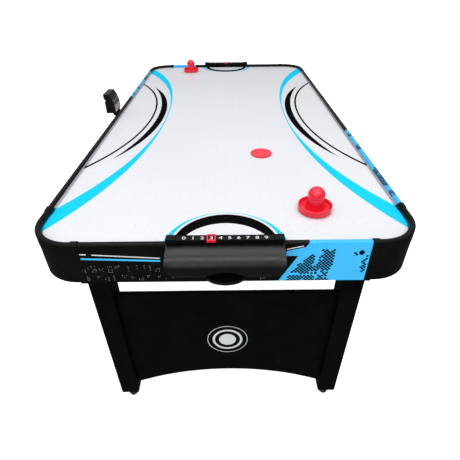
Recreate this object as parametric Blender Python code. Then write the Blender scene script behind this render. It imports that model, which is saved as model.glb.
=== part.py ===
"""Six-foot air hockey table as separate pieces. Metres, +Z up, long axis along Y.

Positions are written for a table whose playing field is centred on x = 0. Every object hangs
from one empty that moves the whole table sideways, so that the origin is at the middle of its
bounding box, scoreboard included. The near end is at -Y and the far end is the same design
turned half a turn.
"""

from math import copysign, cos, pi, radians, sin

import bmesh
import bpy
from mathutils import Matrix, Vector

# Driving dimensions
LENGTH = 1.830
WIDTH = 0.915
HEIGHT = 0.790
BOARD = 0.015                     # thickness of the apron boards
APRON_DEPTH = 0.115
RAIL_RISE = 0.014                 # rail top above the playing surface
CORNER_RADIUS = 0.107
GAP = 0.0003                      # clearance between touching pieces
BEYOND = 0.010                    # how far a cutter runs past the face that it cuts

HALF_L = LENGTH / 2
HALF_W = WIDTH / 2
APRON_BOTTOM = HEIGHT - APRON_DEPTH
FIELD_TOP = HEIGHT - RAIL_RISE
FIELD_THICK = 0.012
INNER_X = HALF_W - BOARD
INNER_Y = HALF_L - BOARD

# Metal liner of the long inner walls
STRIP_THICK = 0.0026
STRIP_END_GAP = 0.004             # short of the casting at each end

# Corner castings
CASTING_END_X = 0.328             # where a casting stops on the end apron
CASTING_SIDE_RUN = 0.163          # how far it runs along the side from the table's end
CUFF = 0.016
CUFF_PROUD = 0.002

# Plenum under the field
BATTEN_H = 0.033
BOTTOM_THICK = 0.005
BATTEN_TOP = FIELD_TOP - FIELD_THICK - GAP
BATTEN_BOTTOM = BATTEN_TOP - BATTEN_H
BOTTOM_TOP = BATTEN_BOTTOM - GAP
BOTTOM_Z = BOTTOM_TOP - BOTTOM_THICK
SIDE_BATTEN_W = 0.030
END_BATTEN_W = 0.175
END_BATTEN_X = 0.385              # half length, clear of the castings' inner curves
END_BATTEN_SETBACK = 0.012

# Blower, in the middle of the bottom board
FAN_SIZE = 0.160
FAN_THICK = 0.038
FAN_BORE = 0.074
FAN_HUB = 0.024
FAN_TOP = BOTTOM_Z - GAP
FAN_BOTTOM = FAN_TOP - FAN_THICK
FAN_FLOOR = 0.004
FAN_STRUTS = 4
STRUT_OUTER_SPREAD = 0.62         # half angle of a slot between struts, at the bore, in radians
STRUT_INNER_SPREAD = 0.50         # and at the motor disc
MOTOR_DISC_R = 0.028
MOTOR_R = 0.020
ROTOR_BORE = 0.0042
ROTOR_LOW = FAN_BOTTOM + 0.017
ROTOR_TOP = FAN_TOP - 0.004
ROTOR_MIDDLE = (ROTOR_LOW + ROTOR_TOP) / 2
BLADES = 7
BLADE_TIP = 0.070
BLADE_SQUASH = 0.8

# Goals
GOAL_HALF = 0.110                 # half width of the notch in the end apron
GOAL_FLOOR = FIELD_TOP - 0.004
HOOD_HALF = 0.131
HOOD_BULGE = 0.054
HOOD_BOTTOM = 0.714
HOOD_WALL = 0.003
HOOD_SQUARE = 0.95                # exponent of its section: 1 would be an ellipse, 0 a box
THUMB_RISE = 0.034
TRAY_HALF = 0.050
TRAY_BULGE = 0.028
TRAY_FLOOR = 0.683
TRAY_RIM = 0.700
DIGITS = 10
DIGIT_PITCH = 0.0202
BAR_FRONT = 0.003                 # bar in front of the apron face
BAR_BACK = 0.016
BAR_TOP = 0.800
BLOCK_TOP = 0.8035
BLOCK_LENGTH = 0.022
MARKER = 0.020
MARKER_WALL = 0.0022
MARKER_PROUD = 0.002
WINDOW_HALF = 0.0072              # along the bar
WINDOW_REACH = 0.0080             # across the bar, either side of its middle
NEAR_SCORE = 3

# Bolt covers on the end aprons
CAP_X = 0.307
CAP_Z = HEIGHT - 0.030

# Leg frames
LEG = 0.060
LEG_OUTER_X = 0.381
LEG_INSET = 0.095                 # from the table's end to the leg's end face
LEG_BOTTOM = 0.043
FOOT_R = 0.0155
FOOT_TOP = 0.012
STEM_R = 0.005
STEM_UP = 0.040
PANEL_THICK = 0.015
PANEL_SETBACK = 0.014
PANEL_TOP = 0.523
PANEL_BOTTOM = 0.095
PANEL_ARCH = 0.161

# Playing pieces
MALLET_R = 0.043
MALLET_RIM = 0.018
MALLET_KNOB_R = 0.022
MALLET_H = 0.066
PAD_THICK = 0.0015
NEAR_MALLET = (0.228, -0.761)
FAR_MALLET = (-0.209, 0.790)
PUCK_R = 0.035
PUCK_THICK = 0.005
PUCK_AT = (0.118, -0.412)

# Scoreboard outside the left rail
BOARD_Y0 = -0.034
BOARD_Y1 = 0.051
BOARD_LOW = 0.795
BOARD_HIGH = 0.870
BOARD_FACE = -0.0020              # from the apron's face out to the face with the display, over the rail
BOARD_REACH = 0.0370              # and to its furthest point
BOARD_SHELL = 0.002
BOARD_SPLIT = 0.020               # joint between the front and rear shells
BOARD_OUTLINE = [(BOARD_FACE, BOARD_LOW), (BOARD_FACE, 0.828), (0.0045, 0.852), (0.0145, BOARD_HIGH),
                 (BOARD_REACH, BOARD_HIGH), (BOARD_REACH, 0.852), (0.0320, 0.848), (0.0320, 0.843),
                 (0.0355, 0.839), (0.0355, BOARD_LOW)]
LENS_OFFSET = 0.0195
LENS_HALF = 0.0165
LENS_LOW = 0.799
LENS_HIGH = 0.824
BUTTON_OUT = 0.0285
BUTTON_R = 0.0038
BRACKET_LOW = 0.715
BRACKET_REACH = 0.0125

# Power switch and inlet in a plate on the right apron, towards the far end
POWER_Y = 0.640
POWER_Z = 0.730
PLATE_HALF_Y = 0.040
PLATE_HALF_Z = 0.018
PLATE_PROUD = 0.0012
POCKET_DEEP = 0.012
SWITCH_Y = POWER_Y - 0.018
SWITCH_PIVOT = 0.004              # pivot's depth behind the apron's face
SWITCH_TILT = 7.0                 # degrees either side of level
INLET_Y = POWER_Y + 0.018
SOCKET_R = 0.004
SOCKET_DEEP = 0.006

SHIFT_X = (BOARD_REACH - CUFF_PROUD) / 2   # centres the bounding box, scoreboard included


def clear_scene():
    for obj in list(bpy.data.objects):
        bpy.data.objects.remove(obj)


def material(name, colour, roughness, metallic=0.0):
    made = bpy.data.materials.get(name)
    if made:
        return made
    made = bpy.data.materials.new(name)
    made.use_nodes = True
    shader = made.node_tree.nodes["Principled BSDF"]
    shader.inputs["Base Color"].default_value = (*colour, 1.0)
    shader.inputs["Roughness"].default_value = roughness
    shader.inputs["Metallic"].default_value = metallic
    return made


def black_vinyl():
    return material("black_vinyl", (0.012, 0.012, 0.014), 0.45)


def black_plastic():
    return material("black_plastic", (0.018, 0.018, 0.018), 0.38)


def field_white():
    return material("field_white", (0.86, 0.87, 0.90), 0.22)


def raw_board():
    return material("raw_board", (0.42, 0.30, 0.19), 0.85)


def rail_aluminium():
    return material("rail_aluminium", (0.42, 0.43, 0.44), 0.40, 0.9)


def red_plastic():
    return material("red_plastic", (0.80, 0.015, 0.040), 0.28)


def white_felt():
    return material("white_felt", (0.75, 0.75, 0.72), 0.95)


def dark_steel():
    return material("dark_steel", (0.05, 0.05, 0.055), 0.35, 0.9)


def smoked_lens():
    return material("smoked_lens", (0.30, 0.12, 0.12), 0.10)


def circuit_green():
    return material("circuit_green", (0.02, 0.16, 0.06), 0.5)


def place(name, bm, finish, root, smooth=True):
    """Turn a closed bmesh into a named object under the root empty."""
    bm.normal_update()
    bmesh.ops.recalc_face_normals(bm, faces=bm.faces)
    mesh = bpy.data.meshes.new(name)
    bm.to_mesh(mesh)
    bm.free()
    mesh.materials.append(finish)
    if smooth:
        mesh.shade_smooth()
        mesh.set_sharp_from_angle(angle=radians(32))
    obj = bpy.data.objects.new(name, mesh)
    bpy.context.collection.objects.link(obj)
    obj.parent = root
    return obj


def set_origin(obj, point):
    """Move an object's origin to a point in the table's own coordinates."""
    obj.data.transform(Matrix.Translation(-Vector(point)))
    obj.location = point


def box_mesh(corner, opposite):
    low = [min(pair) for pair in zip(corner, opposite)]
    high = [max(pair) for pair in zip(corner, opposite)]
    bm = bmesh.new()
    bmesh.ops.create_cube(bm, size=1.0)
    size = Vector(high) - Vector(low)
    middle = (Vector(high) + Vector(low)) / 2
    for vert in bm.verts:
        vert.co = Vector((vert.co.x * size.x, vert.co.y * size.y, vert.co.z * size.z)) + middle
    return bm


def loft(rings):
    """Skin a list of rings, each a list of points, into one closed body."""
    bm = bmesh.new()
    rows = [[bm.verts.new(point) for point in ring] for ring in rings]
    count = len(rows[0])
    for row, following in zip(rows, rows[1:]):
        for i in range(count):
            j = (i + 1) % count
            bm.faces.new((row[i], row[j], following[j], following[i]))
    bm.faces.new(rows[0])
    bm.faces.new(list(reversed(rows[-1])))
    return bm


def turned_mesh(profile, centre, segments=32):
    """Turn a profile of (radius, z) points about a vertical axis; radius 0 makes a pole."""
    bm = bmesh.new()
    rows = []
    for radius, z in profile:
        if radius < 1e-9:
            rows.append([bm.verts.new((centre[0], centre[1], z))])
            continue
        row = []
        for i in range(segments):
            angle = 2 * pi * i / segments
            row.append(bm.verts.new((centre[0] + radius * cos(angle), centre[1] + radius * sin(angle), z)))
        rows.append(row)
    poles = len(rows[0]) == 1 and len(rows[-1]) == 1
    pairs = list(zip(rows, rows[1:])) if poles else list(zip(rows, rows[1:] + rows[:1]))
    for row, following in pairs:
        for i in range(segments):
            j = (i + 1) % segments
            if len(row) == 1:
                bm.faces.new((row[0], following[i], following[j]))
            elif len(following) == 1:
                bm.faces.new((row[i], row[j], following[0]))
            else:
                bm.faces.new((row[i], row[j], following[j], following[i]))
    return bm


def cutter(name, bm, root):
    """A guide for a Boolean modifier, kept out of the model."""
    obj = place(name, bm, black_plastic(), root, smooth=False)
    obj.hide_render = True
    obj.display_type = "WIRE"
    return obj


def boolean(obj, tool, operation="DIFFERENCE"):
    modifier = obj.modifiers.new(operation.lower(), "BOOLEAN")
    modifier.operation = operation
    modifier.object = tool
    modifier.solver = "EXACT"


def bevelled(obj, width):
    modifier = obj.modifiers.new("edge", "BEVEL")
    modifier.width = width
    modifier.segments = 1
    modifier.limit_method = "ANGLE"


def board_section(grow=0.0, steps=6):
    """Section of an apron board: distance inward from its outer face, and z. The top is a half round.

    A cuff grows outward and over the top, and inward only above the playing field.
    """
    radius = BOARD / 2 + grow
    points = [(-grow, APRON_BOTTOM - grow)]
    for i in range(steps + 1):
        angle = pi * i / steps
        points.append((BOARD / 2 - radius * cos(angle), HEIGHT - BOARD / 2 + radius * sin(angle)))
    points += [(BOARD + grow, FIELD_TOP + 0.0010), (BOARD, FIELD_TOP + 0.0006), (BOARD, APRON_BOTTOM - grow)]
    return points


def end_sign(end):
    return 1 if end == "near" else -1


def side_sign(side):
    return 1 if side == "right" else -1


def at_end(end, x, inset, z):
    """A point at the near end, given by x and its distance inward from the end face.

    The far end is the near end turned half a turn.
    """
    turn = end_sign(end)
    return (turn * x, turn * (inset - HALF_L), z)


def upright_cylinder(radius, low_z, high_z, centre=(0.0, 0.0), segments=32):
    return turned_mesh([(0.0, low_z), (radius, low_z), (radius, high_z), (0.0, high_z)], centre, segments)


# ---- table top ----

def rounded_sheet(low_z, high_z):
    """Slab that fills the inside of the rails, with corners that follow the castings."""
    radius = CORNER_RADIUS - BOARD - GAP
    half_x = INNER_X - GAP
    half_y = INNER_Y - GAP
    outline = []
    steps = 8
    for quarter, (sx, sy) in enumerate(((1, 1), (-1, 1), (-1, -1), (1, -1))):
        for i in range(steps + 1):
            angle = (quarter + i / steps) * pi / 2
            outline.append((sx * (half_x - radius) + radius * cos(angle),
                            sy * (half_y - radius) + radius * sin(angle)))
    return loft([[(x, y, z) for x, y in outline] for z in (low_z, high_z)])


def playfield(root):
    place("playfield", rounded_sheet(FIELD_TOP - FIELD_THICK, FIELD_TOP), field_white(), root)


def side_apron(side, root):
    sign = side_sign(side)
    half_run = HALF_L - CASTING_SIDE_RUN - GAP
    rings = []
    for y in (-half_run, half_run):
        rings.append([(sign * (HALF_W - inward), y, z) for inward, z in board_section()])
    place(f"apron_{side}", loft(rings), black_vinyl(), root)


def end_apron(end, root):
    half_run = CASTING_END_X - GAP
    rings = []
    for x in (-half_run, half_run):
        rings.append([at_end(end, x, inward, z) for inward, z in board_section()])
    apron = place(f"apron_{end}", loft(rings), black_vinyl(), root)
    low = at_end(end, -GOAL_HALF, -BEYOND, GOAL_FLOOR)
    high = at_end(end, GOAL_HALF, BOARD + BEYOND, HEIGHT + BEYOND)
    notch = cutter(f"cut_goal_{end}", box_mesh(low, high), root)
    boolean(apron, notch)


def casting_stations():
    """Path of a corner casting: (x, y, outward normal, growth), from the end apron round to the side."""
    start_x = CASTING_END_X
    turn_x = HALF_W - CORNER_RADIUS
    turn_y = CORNER_RADIUS
    step = 0.0005
    arc_steps = 10
    stations = [(start_x, 0.0, -pi / 2, CUFF_PROUD), (start_x + CUFF, 0.0, -pi / 2, CUFF_PROUD),
                (start_x + CUFF + step, 0.0, -pi / 2, 0.0)]
    for i in range(arc_steps + 1):
        angle = -pi / 2 + (pi / 2) * i / arc_steps
        stations.append((turn_x + CORNER_RADIUS * cos(angle), turn_y + CORNER_RADIUS * sin(angle),
                         angle, 0.0))
    stations += [(HALF_W, CASTING_SIDE_RUN - CUFF - step, 0.0, 0.0),
                 (HALF_W, CASTING_SIDE_RUN - CUFF, 0.0, CUFF_PROUD),
                 (HALF_W, CASTING_SIDE_RUN, 0.0, CUFF_PROUD)]
    return stations


def corner_casting(end, side, root):
    sx = side_sign(side)
    sy = end_sign(end)
    rings = []
    for x, inset, angle, grow in casting_stations():
        ring = []
        for inward, z in board_section(grow):
            px = x - inward * cos(angle)
            py = inset - inward * sin(angle)
            ring.append((sx * px, sy * (py - HALF_L), z))
        rings.append(ring)
    place(f"casting_{end}_{side}", loft(rings), black_plastic(), root)


def rail_strip(side, root):
    """Grey metal liner along the long inner wall, above the field."""
    sign = side_sign(side)
    half_run = HALF_L - CASTING_SIDE_RUN - STRIP_END_GAP
    foot = FIELD_TOP + GAP
    head = HEIGHT - BOARD / 2
    face = INNER_X - STRIP_THICK
    section = [(INNER_X - GAP, foot), (INNER_X - GAP, head), (face + 0.0014, head), (face, head - 0.002),
               (face, foot)]
    rings = [[(sign * x, y, z) for x, z in section] for y in (-half_run, half_run)]
    place(f"rail_strip_{side}", loft(rings), rail_aluminium(), root)


def plenum(root):
    """Battens and bottom board that hold the air under the field."""
    half_x = INNER_X - GAP
    half_y = INNER_Y - GAP
    inner_y = half_y - END_BATTEN_W - GAP
    for end in ("near", "far"):
        low = at_end(end, -END_BATTEN_X, BOARD + GAP + END_BATTEN_SETBACK, BATTEN_BOTTOM)
        high = at_end(end, END_BATTEN_X, BOARD + GAP + END_BATTEN_W, BATTEN_TOP)
        place(f"plenum_batten_{end}", box_mesh(low, high), raw_board(), root)
    for side in ("left", "right"):
        sign = side_sign(side)
        low = (sign * (half_x - SIDE_BATTEN_W), -inner_y, BATTEN_BOTTOM)
        high = (sign * half_x, inner_y, BATTEN_TOP)
        place(f"plenum_batten_{side}", box_mesh(low, high), raw_board(), root)
    board = place("bottom_board", rounded_sheet(BOTTOM_Z, BOTTOM_TOP), raw_board(), root)
    hole = upright_cylinder(FAN_BORE, BOTTOM_Z - BEYOND, BOTTOM_TOP + BEYOND)
    boolean(board, cutter("cut_air_hole", hole, root))


# ---- blower ----

def fan_housing(root):
    half = FAN_SIZE / 2
    box = box_mesh((-half, -half, FAN_BOTTOM), (half, half, FAN_TOP))
    housing = place("fan_housing", box, black_plastic(), root)
    duct = upright_cylinder(FAN_BORE, FAN_BOTTOM + FAN_FLOOR, FAN_TOP + BEYOND)
    boolean(housing, cutter("cut_fan_duct", duct, root))
    steps = 8
    for i in range(FAN_STRUTS):
        # slots through the floor leave a disc under the motor, carried by struts
        middle = 2 * pi * (i + 0.5) / FAN_STRUTS
        ring = []
        for radius, spread in ((FAN_BORE, STRUT_OUTER_SPREAD), (MOTOR_DISC_R, -STRUT_INNER_SPREAD)):
            for j in range(steps + 1):
                angle = middle + spread * (2 * j / steps - 1)
                ring.append((radius * cos(angle), radius * sin(angle)))
        low, high = FAN_BOTTOM - BEYOND, FAN_BOTTOM + FAN_FLOOR + 0.002
        slot = loft([[(x, y, z) for x, y in ring] for z in (low, high)])
        boolean(housing, cutter(f"cut_fan_slot_{i}", slot, root))


def fan_motor(root):
    low = FAN_BOTTOM + FAN_FLOOR + GAP
    can_top = low + 0.012
    shaft_top = low + 0.018
    shaft = ROTOR_BORE - 0.0007
    profile = [(0.0, low), (MOTOR_R, low), (MOTOR_R, can_top), (shaft, can_top), (shaft, shaft_top),
               (0.0, shaft_top)]
    place("fan_motor", turned_mesh(profile, (0.0, 0.0), 28), dark_steel(), root)


def fan_blade(angle):
    """Pitched plate from the hub to near the duct, thinner and flatter towards its tip."""
    rings = []
    stations = ((FAN_HUB - 0.004, 0.016, 0.0025, 0.9), (BLADE_TIP, 0.024, 0.0018, 0.55))
    for reach, chord, thick, pitch in stations:
        ring = []
        for across, up in ((-1, -1), (1, -1), (1, 1), (-1, 1)):
            side = across * chord / 2 * cos(pitch) - up * thick / 2 * sin(pitch)
            height = across * chord / 2 * sin(pitch) + up * thick / 2 * cos(pitch)
            ring.append((reach * cos(angle) - side * sin(angle), reach * sin(angle) + side * cos(angle),
                         ROTOR_MIDDLE + BLADE_SQUASH * height))
        rings.append(ring)
    return loft(rings)


def fan_rotor(root):
    low, top = ROTOR_LOW + 0.0005, ROTOR_TOP
    cap = [(ROTOR_BORE, low), (FAN_HUB, low), (FAN_HUB, top), (ROTOR_BORE, top)]
    rotor = place("fan_rotor", turned_mesh(cap, (0.0, 0.0), 28), black_plastic(), root)
    for i in range(BLADES):
        boolean(rotor, cutter(f"blade_{i}", fan_blade(2 * pi * i / BLADES), root), "UNION")
    set_origin(rotor, (0.0, 0.0, ROTOR_MIDDLE))


def square_ring(radius, width, low, high, segments):
    ring = [(radius, low), (radius + width, low), (radius + width, high), (radius, high)]
    return turned_mesh(ring, (0.0, 0.0), segments)


def fan_guard(root):
    """Finger guard of rings on two crossed bars, each a little thinner than what it crosses."""
    top = FAN_BOTTOM - GAP
    low = top - 0.003
    guard = place("fan_guard", square_ring(0.072, 0.006, low, top, 28), dark_steel(), root)
    wire = 0.0025
    for i, radius in enumerate((0.018, 0.036, 0.054)):
        ring = square_ring(radius, wire, low + 0.0005, top - 0.0005, 20)
        boolean(guard, cutter(f"guard_ring_{i}", ring, root), "UNION")
    reach = 0.075
    half = 0.0015
    for name, x, y, trim in (("x", reach, half, 0.0010), ("y", half, reach, 0.0007)):
        bar = box_mesh((-x, -y, low + trim), (x, y, top - trim))
        boolean(guard, cutter(f"guard_bar_{name}", bar, root), "UNION")


# ---- goals ----

def goal_liner(end, root):
    """Saddle that lines the notch in the end apron, from the field out to the drop."""
    outer = GOAL_HALF - GAP
    floor = GOAL_FLOOR + GAP
    ledge = FIELD_TOP - 0.0006
    wall = 0.0028
    head = HEIGHT - 0.0005
    outline = [(-outer, floor), (outer, floor), (outer, head), (outer - wall, head), (outer - wall, ledge),
               (-outer + wall, ledge), (-outer + wall, head), (-outer, head)]
    rings = [[at_end(end, x, inset, z) for x, z in outline] for inset in (0.0, BOARD - GAP)]
    place(f"goal_liner_{end}", loft(rings), black_plastic(), root)


def hood_outline(shrink):
    """Half-barrel section of a goal hood: points (distance out, z) downwards, and its limits in z."""
    top = HEIGHT - GAP - shrink
    low = HOOD_BOTTOM + shrink
    middle = (top + low) / 2
    half = (top - low) / 2
    points = []
    steps = 12
    for i in range(1, steps):
        angle = pi / 2 - pi * i / steps
        # a squared ellipse: flat on top, full at the front
        out = cos(angle) ** HOOD_SQUARE * (HOOD_BULGE - shrink)
        up = copysign(abs(sin(angle)) ** HOOD_SQUARE, sin(angle))
        points.append((out, middle + half * up))
    return points, top, low


def hood_body(end, half, shrink, back):
    points, top, low = hood_outline(shrink)
    outline = [(back, top), *points, (back, low)]
    return loft([[at_end(end, x, -out, z) for out, z in outline] for x in (-half, half)])


def thumb_notch(end):
    """Half ellipse over the tray, open below, through the hood's front and floor."""
    half = TRAY_HALF + 0.002
    base = HOOD_BOTTOM + 0.004
    steps = 12
    ring = [(half, HOOD_BOTTOM - BEYOND), (-half, HOOD_BOTTOM - BEYOND)]
    for i in range(steps + 1):
        angle = pi * i / steps
        ring.append((-half * cos(angle), base + THUMB_RISE * sin(angle)))
    return loft([[at_end(end, x, inset, z) for x, z in ring] for inset in (-HOOD_BULGE - BEYOND, 0.0)])


def goal_hood(end, root):
    hood = place(f"goal_hood_{end}", hood_body(end, HOOD_HALF, 0.0, GAP), black_plastic(), root)
    inside = hood_body(end, HOOD_HALF - HOOD_WALL, HOOD_WALL, -BEYOND)
    boolean(hood, cutter(f"cut_hood_{end}", inside, root))
    boolean(hood, cutter(f"cut_thumb_{end}", thumb_notch(end), root))


def tray_ring(end, half, bulge, back, z):
    """Half ellipse in plan, flat side towards the apron."""
    ring = []
    steps = 14
    for i in range(steps + 1):
        angle = pi * i / steps
        ring.append(at_end(end, -half * cos(angle), -back - bulge * sin(angle), z))
    return ring


def puck_tray(end, root):
    """Shallow half-round dish that catches the puck below the hood."""
    wall = 0.0025
    outer = ((0.72, 0.0), (0.90, 0.004), (1.0, 0.010), (1.0, TRAY_RIM - TRAY_FLOOR))
    inner = ((1.0, TRAY_RIM - TRAY_FLOOR), (1.0, 0.010), (0.88, 0.0055), (0.66, 0.003))
    rings = []
    for scale, rise in outer:
        rings.append(tray_ring(end, TRAY_HALF * scale, TRAY_BULGE * scale, GAP, TRAY_FLOOR + rise))
    for scale, rise in inner:
        half = (TRAY_HALF - wall) * scale
        bulge = (TRAY_BULGE - wall * 2) * scale
        rings.append(tray_ring(end, half, bulge, GAP + wall, TRAY_FLOOR + rise))
    place(f"puck_tray_{end}", loft(rings), black_plastic(), root)


def scorer_bar(end, root):
    reach = HOOD_HALF
    low = HEIGHT + GAP
    inner = reach - BLOCK_LENGTH
    outline = [(-reach, low), (reach, low), (reach, BLOCK_TOP), (inner, BLOCK_TOP), (inner, BAR_TOP),
               (-inner, BAR_TOP), (-inner, BLOCK_TOP), (-reach, BLOCK_TOP)]
    rings = [[at_end(end, x, inset, z) for x, z in outline] for inset in (-BAR_FRONT, BAR_BACK)]
    bar = place(f"scorer_bar_{end}", loft(rings), black_plastic(), root)
    bevelled(bar, 0.0012)


def digit_x(number):
    return (number - (DIGITS - 1) / 2) * DIGIT_PITCH


def score_marker(end, root):
    """Red window frame that straddles the scorer bar and slides along it."""
    at = digit_x(NEAR_SCORE) if end == "near" else 0.0
    middle = (BAR_BACK - BAR_FRONT) / 2
    inner = (BAR_BACK + BAR_FRONT) / 2 + GAP
    outer = inner + MARKER_WALL
    skirt_low = BAR_TOP - 0.0032
    half_section = [(outer, skirt_low), (inner, skirt_low), (inner, BAR_TOP + GAP)]
    outline = [(middle - off, z) for off, z in half_section]
    outline += [(middle + off, z) for off, z in reversed(half_section)]
    outline += [(middle + outer, BAR_TOP + MARKER_PROUD), (middle - outer, BAR_TOP + MARKER_PROUD)]
    rings = [[at_end(end, at + x, inset, z) for inset, z in outline] for x in (-MARKER / 2, MARKER / 2)]
    marker = place(f"score_marker_{end}", loft(rings), red_plastic(), root)
    window = box_mesh(at_end(end, at - WINDOW_HALF, middle - WINDOW_REACH, BAR_TOP - 0.001),
                      at_end(end, at + WINDOW_HALF, middle + WINDOW_REACH, BAR_TOP + BEYOND))
    boolean(marker, cutter(f"cut_window_{end}", window, root))
    set_origin(marker, at_end(end, at, middle, BAR_TOP))


def bolt_cap(end, side, root):
    """Domed cover over the bolt that ties an end apron to the frame."""
    sx = side_sign(side)
    sy = end_sign(end)
    rings = []
    steps = 16
    for radius, out in ((0.0060, GAP), (0.0060, 0.0010), (0.0048, 0.0018), (0.0020, 0.0021)):
        ring = []
        for i in range(steps):
            angle = 2 * pi * i / steps
            ring.append((sx * CAP_X + radius * cos(angle), sy * (-HALF_L - out), CAP_Z + radius * sin(angle)))
        rings.append(ring)
    place(f"bolt_cap_{end}_{side}", loft(rings), black_plastic(), root)


# ---- leg frames ----

def leg_centre(end, side):
    return (side_sign(side) * (LEG_OUTER_X - LEG / 2), end_sign(end) * (LEG_INSET + LEG / 2 - HALF_L))


def leg(end, side, root):
    sx = side_sign(side)
    sy = end_sign(end)
    low = (sx * (LEG_OUTER_X - LEG), sy * (LEG_INSET - HALF_L), LEG_BOTTOM)
    high = (sx * LEG_OUTER_X, sy * (LEG_INSET + LEG - HALF_L), BOTTOM_Z - GAP)
    obj = place(f"leg_{end}_{side}", box_mesh(low, high), black_vinyl(), root)
    bevelled(obj, 0.003)
    bore_top = LEG_BOTTOM + STEM_UP + 0.004
    bore = upright_cylinder(STEM_R + GAP, LEG_BOTTOM - BEYOND, bore_top, leg_centre(end, side), 20)
    boolean(obj, cutter(f"cut_stem_{end}_{side}", bore, root))


def leveller(end, side, root):
    centre = leg_centre(end, side)
    profile = [(0.0, 0.0), (FOOT_R - 0.002, 0.0), (FOOT_R, 0.0025), (FOOT_R, FOOT_TOP - 0.005),
               (FOOT_R - 0.004, FOOT_TOP), (STEM_R, FOOT_TOP), (STEM_R, LEG_BOTTOM + STEM_UP),
               (0.0, LEG_BOTTOM + STEM_UP)]
    obj = place(f"leveller_{end}_{side}", turned_mesh(profile, centre, 24), black_plastic(), root)
    set_origin(obj, (*centre, 0.0))


def end_panel(end, root):
    """Board between the two legs of an end, with an arched lower edge."""
    half = LEG_OUTER_X - LEG - GAP
    flat = 0.014                  # level stretch at each end of the lower edge
    rise = PANEL_ARCH - PANEL_BOTTOM
    chord = half - flat
    radius = (chord * chord + rise * rise) / (2 * rise)
    outline = [(-half, PANEL_TOP), (-half, PANEL_BOTTOM)]
    steps = 16
    for i in range(steps + 1):
        x = -chord + 2 * chord * i / steps
        outline.append((x, PANEL_ARCH - radius + (radius * radius - x * x) ** 0.5))
    outline += [(half, PANEL_BOTTOM), (half, PANEL_TOP)]
    front = LEG_INSET + PANEL_SETBACK
    rings = [[at_end(end, x, inset, z) for x, z in outline] for inset in (front, front + PANEL_THICK)]
    place(f"end_panel_{end}", loft(rings), black_vinyl(), root)


# ---- playing pieces ----

def mallet_profile(low):
    """Rim, dish and domed knob, as (radius, height above the playing surface) from the bottom centre up."""
    knob = MALLET_KNOB_R
    dish = low + 0.004
    shoulder = MALLET_H - knob
    steps = 5
    profile = [(0.0, low), (MALLET_R - 0.001, low), (MALLET_R, low + 0.001), (MALLET_R, MALLET_RIM - 0.0015),
               (MALLET_R - 0.0015, MALLET_RIM), (MALLET_R - 0.003, MALLET_RIM - 0.0015),
               (MALLET_R - 0.004, dish + 0.002), (MALLET_R - 0.006, dish), (knob + 0.002, dish),
               (knob - 0.002, dish + 0.004), (knob - 0.003, dish + 0.014)]
    for i in range(steps):
        angle = pi / 2 * i / steps
        profile.append((knob * cos(angle), shoulder + knob * sin(angle)))
    profile.append((0.0, MALLET_H))
    return profile


def mallet(end, root):
    centre = NEAR_MALLET if end == "near" else FAR_MALLET
    floor = FIELD_TOP + GAP
    pad = upright_cylinder(MALLET_R - 0.003, floor, floor + PAD_THICK, centre, 28)
    place(f"mallet_pad_{end}", pad, white_felt(), root)
    profile = [(radius, FIELD_TOP + z) for radius, z in mallet_profile(GAP + PAD_THICK + GAP)]
    obj = place(f"mallet_{end}", turned_mesh(profile, centre, 28), red_plastic(), root)
    set_origin(obj, (*centre, floor))


def puck(root):
    floor = FIELD_TOP + GAP
    top = floor + PUCK_THICK
    chamfer = 0.0008
    lip = 0.004
    profile = [(0.0, floor), (PUCK_R - chamfer, floor), (PUCK_R, floor + chamfer), (PUCK_R, top - chamfer),
               (PUCK_R - chamfer, top), (PUCK_R - lip, top), (PUCK_R - lip - chamfer, top - chamfer),
               (0.0, top - chamfer)]
    obj = place("puck", turned_mesh(profile, PUCK_AT, 32), red_plastic(), root)
    set_origin(obj, (*PUCK_AT, floor))


# ---- scoreboard ----

def board_point(out, y, z):
    """A point given by its distance out from the left apron's face."""
    return (-HALF_W - out, y, z)


def shrunk(outline, amount):
    """Outline moved inward by a constant wall thickness."""
    moved = []
    count = len(outline)
    for i in range(count):
        here = Vector(outline[i])
        before = (here - Vector(outline[i - 1])).normalized()
        after = (Vector(outline[(i + 1) % count]) - here).normalized()
        inward_a = Vector((before.y, -before.x))
        inward_b = Vector((after.y, -after.x))
        bisector = (inward_a + inward_b) / (1.0 + inward_a.dot(inward_b))
        moved.append(tuple(here + bisector * amount))
    return moved


def board_body(outline, y0, y1):
    return loft([[board_point(out, y, z) for out, z in outline] for y in (y0, y1)])


def board_box(out0, out1, y0, y1, z0, z1):
    return box_mesh(board_point(out0, y0, z0), board_point(out1, y1, z1))


def scoreboard_shells(root):
    """Front and rear halves of one hollow case, split along the table."""
    shells = []
    cavity = board_body(shrunk(BOARD_OUTLINE, BOARD_SHELL), BOARD_Y0 + BOARD_SHELL, BOARD_Y1 - BOARD_SHELL)
    inside = cutter("cut_board_inside", cavity, root)
    for part, out0, out1 in (("front", BOARD_FACE - BEYOND, BOARD_SPLIT),
                             ("rear", BOARD_SPLIT + GAP, BOARD_REACH + BEYOND)):
        whole = board_body(BOARD_OUTLINE, BOARD_Y0, BOARD_Y1)
        shell = place(f"scoreboard_{part}_shell", whole, black_plastic(), root)
        half = board_box(out0, out1, BOARD_Y0 - BEYOND, BOARD_Y1 + BEYOND, BOARD_LOW - BEYOND,
                         BOARD_HIGH + BEYOND)
        boolean(shell, cutter(f"keep_board_{part}", half, root), "INTERSECT")
        boolean(shell, inside)
        shells.append(shell)
    return shells


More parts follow.
